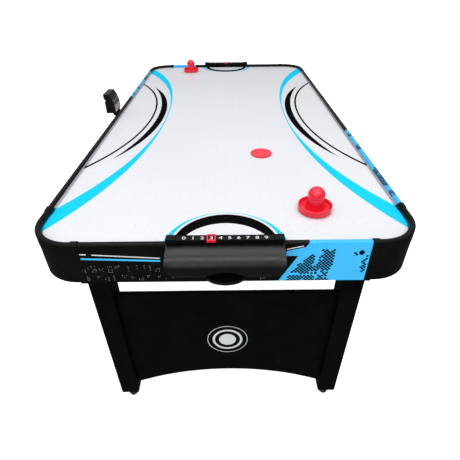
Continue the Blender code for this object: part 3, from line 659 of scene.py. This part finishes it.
def end_graphics(chooser):
    """Print of an end rail: pin stripes on the left, a blue field with checked patches on the right."""
    reach = CASTING_END_X
    stripe_end = -0.1485
    below = APRON_BOTTOM - 0.01
    regions = [stripe(2, (-reach, 0.762), (stripe_end, 0.749), WHITE_STRIPE),
               stripe(1, (-reach, 0.749), (stripe_end, 0.741), BLUE_STRIPE),
               (1, [(0.1185, below), (reach, below), (reach, INSIDE_FOOT), (0.1905, INSIDE_FOOT),
                    (0.1865, SHOULDER + 0.006), (0.1795, 0.777), (0.1375, 0.766), (0.1375, 0.752),
                    (0.1645, 0.752)]),
               stripe(0, (0.1375, 0.7685), (0.1790, 0.7785), 0.0022),
               stripe(2, (0.1375, 0.7710), (0.1745, 0.7800), EDGE_STRIPE)]
    patches = ([(0.1485, 0.700), (0.1775, 0.739), (0.2015, 0.765), (0.2045, 0.726), (0.2135, 0.697)],
               [(0.2045, 0.700), (0.2125, 0.737), (0.2185, 0.768), (0.2485, 0.768), (0.2465, 0.726),
                (0.2365, 0.694)],
               [(0.1405, 0.672), (0.1455, 0.693), (0.2345, 0.693), (0.2465, 0.672)],
               [(0.3110, 0.733), (0.3220, 0.754), (0.3260, 0.697), (0.3140, 0.705)])
    for patch in patches:
        regions += cells(0, patch, CELL, SQUARE, 0.90, chooser)
    regions += cells(0, [(0.286, 0.752), (0.286, 0.766), (0.300, 0.766), (0.300, 0.752)], CELL,
                     SQUARE, 0.6, chooser)
    for start, end, bottom, top in ((-reach, -0.140, 0.704, 0.730), (-reach, -0.120, 0.680, 0.698),
                                    (-0.050, 0.050, 0.700, 0.728), (0.080, 0.112, 0.680, 0.694)):
        regions += dot_groups(start, end, bottom, top, chooser)
    return regions


def side_graphics(chooser):
    """Print of a side rail, as the right one: blue towards its near end, black beyond."""
    front, back = CASTING_SIDE_Y, -0.233
    low = APRON_BOTTOM - 0.01
    regions = [(1, [(front, low), (back - 0.088, low), (back - 0.040, 0.735), (back, SHOULDER),
                    (back, OVER), (front, OVER)]),
               stripe(2, (back - 0.010, 0.771), (back + 0.110, 0.780), EDGE_STRIPE),
               stripe(2, (0.250, 0.742), (0.745, 0.762), WHITE_STRIPE),
               stripe(1, (0.250, 0.733), (0.745, 0.749), BLUE_STRIPE)]
    crest = SHOULDER + 0.027
    for middle, half in ((-0.280, 0.014), (-0.390, 0.022), (-0.602, 0.066), (-0.702, 0.018)):
        patch = [(middle - half, SHOULDER - 0.006), (middle + half, SHOULDER - 0.006),
                 (middle + half * 0.7, crest), (middle - half * 0.8, crest - 0.003)]
        regions += cells(0, patch, CELL, SQUARE, 0.9, chooser)
    for middle, half, bottom, top in ((-0.345, 0.030, 0.700, 0.750), (-0.435, 0.045, 0.690, 0.768),
                                      (-0.560, 0.060, 0.680, 0.735), (-0.660, 0.040, 0.700, 0.770)):
        patch = [(middle - half, bottom), (middle + half * 0.7, bottom + 0.006), (middle + half, top),
                 (middle - half * 0.5, top - 0.010)]
        regions += cells(0, patch, CELL, SQUARE, 0.88, chooser)
    for start, end, bottom, top in ((-0.200, 0.700, 0.704, 0.728), (-0.220, 0.720, 0.680, 0.698)):
        regions += dot_groups(start, end, bottom, top, chooser)
    return regions


def end_point(end, x, inset, z):
    """A point at the near end, by x and its distance inward from the end face, or the far end's twin."""
    turn = sign_of(end)
    return Vector((turn * x, turn * (inset - HALF_L), z))


def rails():
    beyond = 0.01
    for end in ENDS:
        apron = printed_rail(f"end_rail_{end}", f"apron_{end}",
                             lambda u, inward, z: end_point(end, u, inward, z), CASTING_END_X - GAP,
                             end_graphics(Random(7)))
        a = end_point(end, -GOAL_HALF, -beyond, GOAL_FLOOR)
        b = end_point(end, GOAL_HALF, BOARD + beyond, HEIGHT + beyond)
        cut(apron, [block([min(p) for p in zip(a, b)], [max(p) for p in zip(a, b)])])
    for side in SIDES:
        sign = sign_of(side)
        apron = printed_rail(f"side_rail_{side}", f"apron_{side}",
                             lambda u, inward, z: (sign * (HALF_W - inward), sign * u, z),
                             -CASTING_SIDE_Y - GAP, side_graphics(Random(11)))
        if side == "right":
            low, high = table_box("power_plate")
            margin, depth = 0.003, 0.012
            cut(apron, [block((HALF_W - depth, low.y + margin, low.z + margin),
                              (high.x + beyond, high.y - margin, high.z - margin))])


def casting_stations():
    """Path of a corner casting: (x, distance from the end, outward normal, growth)."""
    soft = 0.0006
    cuff = ((0.0, CUFF_PROUD - soft), (soft, CUFF_PROUD), (CUFF - soft, CUFF_PROUD),
            (CUFF, CUFF_PROUD - soft), (CUFF + 0.0004, 0.0))
    stations = [(CASTING_END_X + x, 0.0, -pi / 2, grow) for x, grow in cuff]
    turn_x = HALF_W - CORNER_RADIUS
    steps = 28
    for i in range(steps + 1):
        angle = (i / steps - 1) * pi / 2
        stations.append((turn_x + CORNER_RADIUS * cos(angle), CORNER_RADIUS * (1 + sin(angle)), angle, 0.0))
    run = HALF_L + CASTING_SIDE_Y
    return stations + [(HALF_W, run - y, 0.0, grow) for y, grow in reversed(cuff)]


def corner_castings():
    crease = HEIGHT - 0.033
    for end, side in CORNERS:
        turn, sign = sign_of(end), sign_of(side)
        rings = []
        for x, inset, angle, grow in casting_stations():
            section = rail_section(max(grow, 1e-6), crease)
            rings.append([(sign * (x - inward * cos(angle)),
                           turn * (inset - inward * sin(angle) - HALF_L), z) for inward, z in section])
        piece(f"corner_{end}_{side}", loft(rings), CASTING_PLASTIC, [f"casting_{end}_{side}"], crease=32)


def rail_strips():
    """Metal liners of the long inner walls, with a shallow groove along them."""
    for side in SIDES:
        low, high = table_box(f"rail_strip_{side}")
        sign = sign_of(side)
        face, back = sorted((abs(low.x), abs(high.x)))
        soft = 0.0005
        groove = (low.z + high.z) / 2
        section = [(back, low.z), (back, high.z), (face + 0.0014, high.z), (face + soft, high.z - 0.0012),
                   (face, high.z - 0.002), (face, groove + 0.0010), (face + 0.0004, groove + 0.0005),
                   (face + 0.0004, groove - 0.0005), (face, groove - 0.0010), (face, low.z + soft),
                   (face + soft, low.z)]
        rings = [[(sign * x, y, z) for x, z in section] for y in (low.y, high.y)]
        piece(f"rail_liner_{side}", loft(rings), RAIL_METAL, [f"rail_strip_{side}"], 60)


# ---- goals ----

HOOD_HALF = HOOD_HIGH.x
HOOD_BULGE = -HALF_L - HOOD_LOW.y
HOOD_TOP = HOOD_HIGH.z
HOOD_BOTTOM = HOOD_LOW.z
HOOD_SQUARE = 0.95
HOOD_CORNER = 0.030
TRAY_HALF = TRAY_HIGH.x


def hood_ring(x, shrink, back, trim=0.0):
    """Section of a goal hood at x: a squared half ellipse, raised at its foot near the hood's ends."""
    beyond = max(abs(x) - (HOOD_HALF - HOOD_CORNER), 0.0) / HOOD_CORNER
    lift = HOOD_CORNER * 0.8 * (1 - sqrt(max(1 - beyond * beyond, 0.0)))
    top = HOOD_TOP - shrink - trim
    low = HOOD_BOTTOM + shrink + trim + lift
    middle, half = (top + low) / 2, (top - low) / 2
    points = [(back, top)]
    steps = 22
    for i in range(1, steps):
        angle = pi / 2 - pi * i / steps
        out = cos(angle) ** HOOD_SQUARE * (HOOD_BULGE - shrink - trim)
        up = abs(sin(angle)) ** HOOD_SQUARE * (1 if angle > 0 else -1)
        points.append((out, middle + half * up))
    points.append((back, low))
    return [(x, -out, z) for out, z in points]


def hood_solid(end, shrink, back):
    half = HOOD_HALF - shrink
    soft = 0.0022
    stations = [(half, soft), (half - soft * 0.3, soft * 0.3), (half - soft, 0.0)]
    stations += [(half - soft - (HOOD_CORNER - soft) * i / 9, 0.0) for i in range(1, 10)]
    path = [(-x, trim) for x, trim in stations] + [(x, trim) for x, trim in reversed(stations)]
    return loft([[end_point(end, *p) for p in hood_ring(x, shrink, back, trim)] for x, trim in path])


def thumb_notch(end):
    """Half ellipse over the tray, open below."""
    half, base, rise = TRAY_HALF + 0.002, HOOD_BOTTOM + 0.004, 0.034
    ring = [(half, HOOD_BOTTOM - 0.01), *ellipse(half, rise, 33, 0.0, pi, (0.0, base)),
            (-half, HOOD_BOTTOM - 0.01)]
    return loft([[end_point(end, x, inset, z) for x, z in ring] for inset in (-HOOD_BULGE - 0.01, 0.0)])


def goal_hoods():
    wall = 0.003
    for end in ENDS:
        hood = piece(f"hood_{end}", hood_solid(end, 0.0, GAP), HOOD_PLASTIC, [f"goal_hood_{end}"])
        cut(hood, [hood_solid(end, wall, -0.001), thumb_notch(end)])


def tray_ring(end, half, bulge, back, z):
    arc = ellipse(-half, -bulge, 31, 0.0, pi, (0.0, -back))
    return [end_point(end, x, inset, z) for x, inset in arc]


def puck_trays():
    """Shallow dishes with a rolled rim."""
    wall = 0.0025
    floor, rim = TRAY_LOW.z, TRAY_HIGH.z
    bulge = -HALF_L - TRAY_LOW.y - GAP
    outer = ((0.70, 0.0), (0.80, 0.0007), (0.90, 0.0035), (0.97, 0.0075), (1.0, 0.012),
             (1.0, rim - floor - 0.0006), (0.994, rim - floor))
    inner = ((1.0, rim - floor), (0.988, rim - floor - 0.0006), (0.985, 0.012), (0.95, 0.0085),
             (0.87, 0.0050), (0.66, 0.003))
    for end in ENDS:
        rings = [tray_ring(end, TRAY_HALF * s, bulge * s, GAP, floor + rise) for s, rise in outer]
        rings += [tray_ring(end, (TRAY_HALF - wall) * s, (bulge - wall) * s, GAP + wall, floor + rise)
                  for s, rise in inner]
        piece(f"tray_{end}", loft(rings), HOOD_PLASTIC, [f"puck_tray_{end}"])


def glyph(text, size, height):
    """Closed mesh of a digit, centred on the origin, in a new bmesh."""
    curve = bpy.data.curves.new("glyph", "FONT")
    curve.body = text
    curve.size = size
    curve.align_x = "CENTER"
    curve.align_y = "CENTER"
    curve.extrude = height / 2
    curve.resolution_u = 3
    obj = scene_object("glyph", curve)
    mesh = evaluated(obj)
    bpy.data.objects.remove(obj)
    bm = bmesh.new()
    bm.from_mesh(mesh)
    bmesh.ops.remove_doubles(bm, verts=bm.verts, dist=1e-6)
    xs = [v.co.x for v in bm.verts]
    middle = (min(xs) + max(xs)) / 2
    bmesh.ops.translate(bm, verts=bm.verts, vec=(-middle, 0.0, 0.0))
    bpy.data.meshes.remove(mesh)
    return bm


def scorer_bars():
    inner = HOOD_HALF - 0.022
    front, back = -HALF_L - BAR_LOW.y, BAR_HIGH.y + HALF_L
    reach = BAR_HIGH.x
    outline = [(-reach, BAR_LOW.z), (reach, BAR_LOW.z), (reach, BAR_HIGH.z), (inner, BAR_HIGH.z),
               (inner, BAR_TOP), (-inner, BAR_TOP), (-inner, BAR_HIGH.z), (-reach, BAR_HIGH.z)]
    for end in ENDS:
        bm = loft([[end_point(end, x, inset, z) for x, z in outline] for inset in (-front, back)])
        rounded(bm, bm.edges[:], 0.0012, 3)
        piece(f"bar_{end}", bm, BAR_PLASTIC, [f"scorer_bar_{end}"])
        digits = bmesh.new()
        turn = Matrix.Rotation(0.0 if end == "near" else pi, 4, "Z")
        spin = turn @ Matrix.Diagonal((DIGIT_STRETCH, 1.0, 1.0, 1.0))
        for number in range(10):
            one = glyph(str(number), DIGIT_SIZE, DIGIT_RELIEF)
            along = (number - 4.5) * DIGIT_PITCH
            place = Matrix.Translation(end_point(end, along, (back - front) / 2, BAR_TOP + DIGIT_RELIEF / 2))
            bmesh.ops.transform(one, matrix=place @ spin, verts=one.verts)
            joined(digits, one)
        piece(f"digits_{end}", digits, DIGIT_PAINT)


# ---- playing pieces ----

def fillet(corner, before, after, radius, steps=4):
    """Points of a rounded profile corner."""
    corner, before, after = Vector(corner), Vector(before), Vector(after)
    start = corner + (before - corner).normalized() * radius
    end = corner + (after - corner).normalized() * radius
    points = []
    for i in range(steps + 1):
        t = i / steps
        points.append(tuple((1 - t) ** 2 * start + 2 * t * (1 - t) * corner + t * t * end))
    return points


def softened(profile, radii):
    """Profile with rounded corners; a radius of 0 keeps a corner."""
    points = []
    for i, (point, radius) in enumerate(zip(profile, radii)):
        if radius:
            points += fillet(point, profile[i - 1], profile[i + 1], radius)
        else:
            points.append(point)
    return points


def round_box(node):
    """Lowest and highest corners, centre line and radius of an upright round node."""
    low, high = table_box(node)
    middle = (low + high) / 2
    return low, high, (middle.x, middle.y, 0.0), (high.x - low.x) / 2


def mallets():
    for end in ENDS:
        low, high, centre, _ = round_box(f"mallet_{end}")
        rim, knob = 0.043, 0.022
        floor, top = low.z, high.z
        shoulder = top - knob
        dish = floor + 0.003
        lip = FIELD_TOP + 0.018
        profile = [(0.0, floor), (rim, floor), (rim, lip), (rim - 0.0022, lip), (rim - 0.0030, dish),
                   (knob + 0.001, dish), (knob - 0.0012, shoulder - 0.006)]
        points = softened(profile, [0, 0.0012, 0.0012, 0.0012, 0.003, 0.005, 0])
        points.append((knob - 0.0006, shoulder - 0.003))
        points += ellipse(knob, knob, 15, 0.0, pi / 2, (0.0, shoulder))
        piece(f"striker_{end}", turned(points, centre, 72), RED_PLASTIC, [f"mallet_{end}"],
              40, f"mallet_{end}")
        low, high, _, radius = round_box(f"mallet_pad_{end}")
        pad = softened([(0.0, low.z), (radius, low.z), (radius, high.z), (0.0, high.z)],
                       [0, 0.0004, 0.0004, 0])
        piece(f"striker_pad_{end}", turned(pad, centre, 64), FELT, [f"mallet_pad_{end}"],
              body=f"mallet_{end}")


def puck():
    low, high, centre, radius = round_box("puck")
    floor, top = low.z, high.z
    dip, boss = 0.0009, 0.011
    profile = [(0.0, floor), (radius, floor), (radius, top), (radius - 0.004, top),
               (radius - 0.0046, top - dip), (boss, top - dip), (boss - 0.0005, top - dip * 0.3),
               (0.0, top - dip * 0.3)]
    points = softened(profile, [0, 0.0009, 0.0009, 0.0004, 0.0003, 0.0002, 0.0002, 0])
    piece("puck_disc", turned(points, centre, 96), RED_PLASTIC, ["puck"], 40, "puck")


# ---- leg frames ----

def legs():
    foot_top, stem, bore = 0.012, 0.0050, 0.0053
    for end, side in CORNERS:
        low, high = table_box(f"leg_{end}_{side}")
        post = block(low, high)
        leg = piece(f"post_{end}_{side}", rounded(post, post.edges[:], 0.0035, 4), LEG_FILM,
                    [f"leg_{end}_{side}"])
        _, foot_high, centre, radius = round_box(f"leveller_{end}_{side}")
        roof = foot_high.z + 0.004
        cut(leg, [turned([(0.0, low.z - 0.01), (bore, low.z - 0.01), (bore, roof), (0.0, roof)], centre, 24)])
        profile = [(0.0, 0.0), (radius - 0.0015, 0.0), (radius, 0.0030), (radius, 0.0075),
                   (radius - 0.0045, foot_top), (stem, foot_top), (stem, foot_high.z), (0.0, foot_high.z)]
        points = softened(profile, [0, 0.0010, 0.0010, 0.0010, 0.0010, 0, 0.0008, 0])
        piece(f"foot_{end}_{side}", turned(points, centre, 40), RUBBER, [f"leveller_{end}_{side}"],
              body=f"leveller_{end}_{side}")


def panel_outline(half):
    """Board with an arched lower edge, as (x, z) from its top left corner."""
    flat, rise = 0.014, 0.066
    bottom, top = PANEL_LOW.z, PANEL_HIGH.z
    chord = half - flat
    radius = (chord * chord + rise * rise) / (2 * rise)
    points = [(-half, top), (-half, bottom)]
    steps = 40
    for i in range(steps + 1):
        x = -chord + 2 * chord * i / steps
        points.append((x, bottom + rise - radius + sqrt(radius * radius - x * x)))
    return points + [(half, bottom), (half, top)]


def end_panels():
    """Boards between the legs, each with a plain mark of a disc in two rings."""
    half = PANEL_HIGH.x
    front, back = PANEL_LOW.y + HALF_L, PANEL_HIGH.y + HALF_L
    mark_z, relief = 0.318, 0.0002
    for end in ENDS:
        bm = loft([[end_point(end, x, inset, z) for x, z in panel_outline(half)] for inset in (front, back)])
        rims = [e for e in bm.edges if abs(e.verts[0].co.y - e.verts[1].co.y) < 1e-6]
        rounded(bm, rims, 0.0010, 2)
        piece(f"panel_{end}", bm, LEG_FILM, [f"end_panel_{end}"], 28)
        mark = bmesh.new()
        turn = sign_of(end)
        for inner, outer in ((0.0620, 0.0640), (0.0400, 0.0475), (0.0, 0.0270)):
            face, raised = turn * (front - HALF_L), turn * (front - HALF_L - relief)
            profile = [(inner, face), (outer, face), (outer, raised), (inner, raised)]
            turned(profile, (0.0, 0.0, mark_z), 96, "Y", mark)
        piece(f"panel_mark_{end}", mark, MARK_GREY, crease=20)


def bolt_caps():
    for end, side in CORNERS:
        low, high = table_box(f"bolt_cap_{end}_{side}")
        middle = (low + high) / 2
        radius = (high.x - low.x) / 2
        turn = sign_of(end)
        foot = low.y if end == "far" else high.y
        profile = [(0.0, 0.0), (radius, 0.0), (radius, 0.0009), (radius * 0.86, 0.0016),
                   (radius * 0.55, 0.0020), (radius * 0.25, 0.0021), (0.0, 0.0021)]
        points = [(r, foot - turn * h) for r, h in profile]
        piece(f"cap_{end}_{side}", turned(points, (middle.x, 0.0, middle.z), 32, "Y"), CASTING_PLASTIC,
              [f"bolt_cap_{end}_{side}"], crease=50)


# ---- scoreboard, blower and fittings ----

def finished(node, material, bevel=0.0, segments=2):
    """Show a CAD node with a procedural material and softened edges."""
    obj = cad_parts[node]
    obj.data.materials.clear()
    obj.data.materials.append(material)
    if bevel:
        modifier = obj.modifiers.new("edge", "BEVEL")
        modifier.width = bevel
        modifier.segments = segments
        modifier.limit_method = "ANGLE"
        modifier.angle_limit = radians(40)
        modifier.use_clamp_overlap = True


def screw_heads(name, spots, axis, radius=0.0035):
    """Pan-head screws with a round recess, standing out along an axis."""
    profile = [(0.0, -0.0010), (radius, -0.0010), (radius, 0.0004), (radius * 0.85, 0.0011),
               (radius * 0.45, 0.0015), (radius * 0.34, 0.0015), (radius * 0.12, 0.0004), (0.0, 0.0004)]
    bm = bmesh.new()
    for spot in spots:
        joined(bm, stood(turned(profile, segments=20), spot, axis))
    piece(name, bm, ZINC, crease=30)


def segment_digit(bm, middle_y, z0, z1, out):
    """Seven bars of a score display on the left side's face, as an 8."""
    half = (z1 - z0) * 0.30
    waist = (z0 + z1) / 2
    thick = 0.0012
    x = -HALF_W - out
    bars = [((-half, z), (half, z)) for z in (z0, waist, z1)]
    bars += [((s * half, a), (s * half, b)) for s in (-1, 1) for a, b in ((z0, waist), (waist, z1))]
    for (ya, za), (yb, zb) in bars:
        along_y, along_z = abs(yb - ya) / 2 - thick, abs(zb - za) / 2 - thick
        my, mz = middle_y + (ya + yb) / 2, (za + zb) / 2
        dy, dz = max(along_y, thick / 2), max(along_z, thick / 2)
        block((x, my - dy, mz - dz), (x + 0.0002, my + dy, mz + dz), bm=bm)


def scoreboard():
    for node in ("scoreboard_front_shell", "scoreboard_rear_shell"):
        finished(node, SHELL_PLASTIC, 0.0009, 3)
    finished("scoreboard_bracket", CASTING_PLASTIC, 0.0005)
    finished("scoreboard_display", CIRCUIT)
    finished("scoreboard_button", BUTTON_PLASTIC, 0.0003)
    low, high = table_box("scoreboard_front_shell")
    for end in ENDS:
        finished(f"scoreboard_lens_{end}", LENS, 0.0003)
        lens_low, lens_high = table_box(f"scoreboard_lens_{end}")
        segments = bmesh.new()
        face = -HALF_W - lens_high.x
        for shift in (-0.0075, 0.0075):
            middle = (lens_low.y + lens_high.y) / 2 + shift
            segment_digit(segments, middle, lens_low.z + 0.004, lens_high.z - 0.004, face)
        piece(f"score_segments_{end}", segments, SEGMENT, crease=20)
    # a row of small round keys on the slanted facet over the lenses, between its lower and upper edge
    lower, upper = Vector((-0.0020, 0.828)), Vector((0.0045, 0.852))
    outward = (upper.y - lower.y, 0.0, upper.x - lower.x)
    middle = (lower + upper) / 2
    profile = [(0.0, -0.0012), (0.0028, -0.0012), (0.0028, 0.0006), (0.0022, 0.0011), (0.0, 0.0012)]
    keys = bmesh.new()
    for y in (low.y + 0.016, (low.y + high.y) / 2, high.y - 0.016):
        joined(keys, stood(turned(profile, segments=28), (-HALF_W - middle.x, y, middle.y), outward))
    piece("scoreboard_keys", keys, MARK_GREY, crease=30)
    spots = [(-HALF_W - 0.004, y, z) for y in (low.y + 0.020, high.y - 0.020) for z in (0.728, 0.752)]
    screw_heads("bracket_screws", spots, (-1, 0, 0))


def blower():
    finished("fan_housing", CASTING_PLASTIC, 0.0010)
    finished("fan_motor", BLACK_STEEL, 0.0006)
    finished("fan_rotor", HOOD_PLASTIC)
    finished("fan_guard", BLACK_STEEL, 0.0003)
    low, high = table_box("fan_housing")
    inset = 0.0085
    spots = [(x, y, low.z) for x in (low.x + inset, high.x - inset) for y in (low.y + inset, high.y - inset)]
    screw_heads("blower_screws", spots, (0, 0, -1), 0.0038)


def underside():
    for end in ENDS:
        finished(f"plenum_batten_{end}", RAW_BOARD, 0.0008)
        finished(f"goal_liner_{end}", CASTING_PLASTIC, 0.0004)
    for side in SIDES:
        finished(f"plenum_batten_{side}", RAW_BOARD, 0.0008)
    finished("bottom_board", RAW_BOARD, 0.0005)
    low, high = table_box("bottom_board")
    spots = []
    for i in range(9):
        y = low.y + 0.12 + (high.y - low.y - 0.24) * i / 8
        spots += [(low.x + 0.014, y, low.z), (high.x - 0.014, y, low.z)]
    for i in range(4):
        x = -0.24 + 0.16 * i
        spots += [(x, low.y + 0.030, low.z), (x, high.y - 0.030, low.z)]
    screw_heads("board_screws", spots, (0, 0, -1))
    for side in SIDES:
        spots = []
        for end in ENDS:
            leg_low, leg_high = table_box(f"leg_{end}_{side}")
            x = leg_low.x if side == "right" else leg_high.x
            y = (leg_low.y + leg_high.y) / 2 + sign_of(end) * 0.012
            spots += [(x, y, leg_high.z - drop) for drop in (0.025, 0.055)]
        screw_heads(f"leg_bolts_{side}", spots, (-sign_of(side), 0, 0), 0.0062)


def power():
    finished("power_plate", CASTING_PLASTIC, 0.0003)
    finished("power_switch", BAR_PLASTIC, 0.0004)
    finished("power_inlet", BAR_PLASTIC, 0.0003)
    low, high = table_box("power_plate")
    middle = (low.z + high.z) / 2
    screw_heads("plate_screws", [(high.x, low.y + 0.006, middle), (high.x, high.y - 0.006, middle)],
                (1, 0, 0), 0.0028)
    low, high = table_box("power_inlet")
    profile = [(0.0, 0.0072), (0.0010, 0.0072), (0.0010, 0.0018), (0.0006, 0.0012), (0.0, 0.0012)]
    points = [(radius, high.x - depth) for radius, depth in profile]
    pin = turned(points, (0.0, (low.y + high.y) / 2, middle), 16, "X")
    piece("inlet_pin", pin, ZINC)


def markers():
    for end in ENDS:
        finished(f"score_marker_{end}", RED_PLASTIC, 0.0005, 3)


# ---- stage ----

def world_light():
    """Soft white light from above, fading to little at the horizon, behind a plain white backdrop."""
    world = bpy.data.worlds.new("studio")
    world.use_nodes = True
    tree = world.node_tree
    background = tree.nodes["Background"]
    background.inputs["Color"].default_value = (1.0, 1.0, 1.0, 1.0)
    direction = tree.nodes.new("ShaderNodeTexCoord")
    split = tree.nodes.new("ShaderNodeSeparateXYZ")
    strength = tree.nodes.new("ShaderNodeMapRange")
    for socket, value in (("From Min", 0.0), ("From Max", 0.60), ("To Min", 0.08), ("To Max", 0.92)):
        strength.inputs[socket].default_value = value
    seen = tree.nodes.new("ShaderNodeLightPath")
    choice = tree.nodes.new("ShaderNodeMix")
    choice.inputs["B"].default_value = 1.0
    for source, target in ((direction.outputs["Generated"], split.inputs["Vector"]),
                           (split.outputs["Z"], strength.inputs["Value"]),
                           (seen.outputs["Is Camera Ray"], choice.inputs["Factor"]),
                           (strength.outputs["Result"], choice.inputs["A"]),
                           (choice.outputs["Result"], background.inputs["Strength"])):
        tree.links.new(source, target)
    bpy.context.scene.world = world


def soft_light(name, location, target, size, power):
    """Area light that faces a point, its own place in table coordinates."""
    data = bpy.data.lights.new(name, "AREA")
    data.shape = "RECTANGLE"
    data.size, data.size_y = size
    data.energy = power
    obj = scene_object(name, data)
    obj.location = SHIFT + Vector(location)
    obj.rotation_mode = "QUATERNION"
    obj.rotation_quaternion = (Vector(target) - obj.location).to_track_quat("-Z", "Y")


def floor():
    finish = Finish("floor_white", (0.80, 0.80, 0.80), 0.9, Specular_IOR_Level=0.1)
    finish.vary_colour(0.6, (0.79, 0.79, 0.79))
    finish.set("Emission Color", (1.0, 1.0, 1.0, 1.0))
    finish.set("Emission Strength", 0.78)
    bm = bmesh.new()
    bmesh.ops.create_grid(bm, x_segments=2, y_segments=2, size=60.0)
    mesh = mesh_of("floor", bm)
    mesh.materials.append(finish.material)
    obj = scene_object("floor", mesh)
    obj.visible_glossy = False


def camera():
    """High three-quarter view from beyond the near end."""
    data = bpy.data.cameras.new("camera")
    data.lens = 28.67
    data.sensor_width = 36.0
    obj = scene_object("camera", data)
    pitch, yaw, roll = radians(35.65), radians(0.12), radians(-0.51)
    forward = Vector((sin(yaw) * cos(pitch), cos(yaw) * cos(pitch), -sin(pitch)))
    right = Vector((cos(yaw), -sin(yaw), 0.0))
    up = right.cross(forward)
    tilted_right = cos(roll) * right + sin(roll) * up
    tilted_up = -sin(roll) * right + cos(roll) * up
    turn = Matrix((tilted_right, tilted_up, -forward)).transposed().to_4x4()
    obj.matrix_world = Matrix.Translation(SHIFT + Vector((0.0095, -1.5525, 1.2830))) @ turn
    bpy.context.scene.camera = obj


for make in (playing_surface, rails, corner_castings, rail_strips, goal_hoods, puck_trays, scorer_bars,
             markers, mallets, puck, legs, end_panels, bolt_caps, scoreboard, blower, underside, power,
             world_light):
    make()
soft_light("overhead", (0.0, -0.3, 3.4), (0.0, -0.3, 0.7), (1.4, 3.6), 30)
soft_light("near", (0.0, -1.7, 2.5), (0.0, -0.80, 0.7), (2.6, 0.7), 16)
soft_light("front", (-1.2, -3.4, 2.2), (0.0, -0.6, 0.6), (2.4, 1.6), 14)
floor()
camera()
bpy.context.scene.view_settings.view_transform = "Standard"
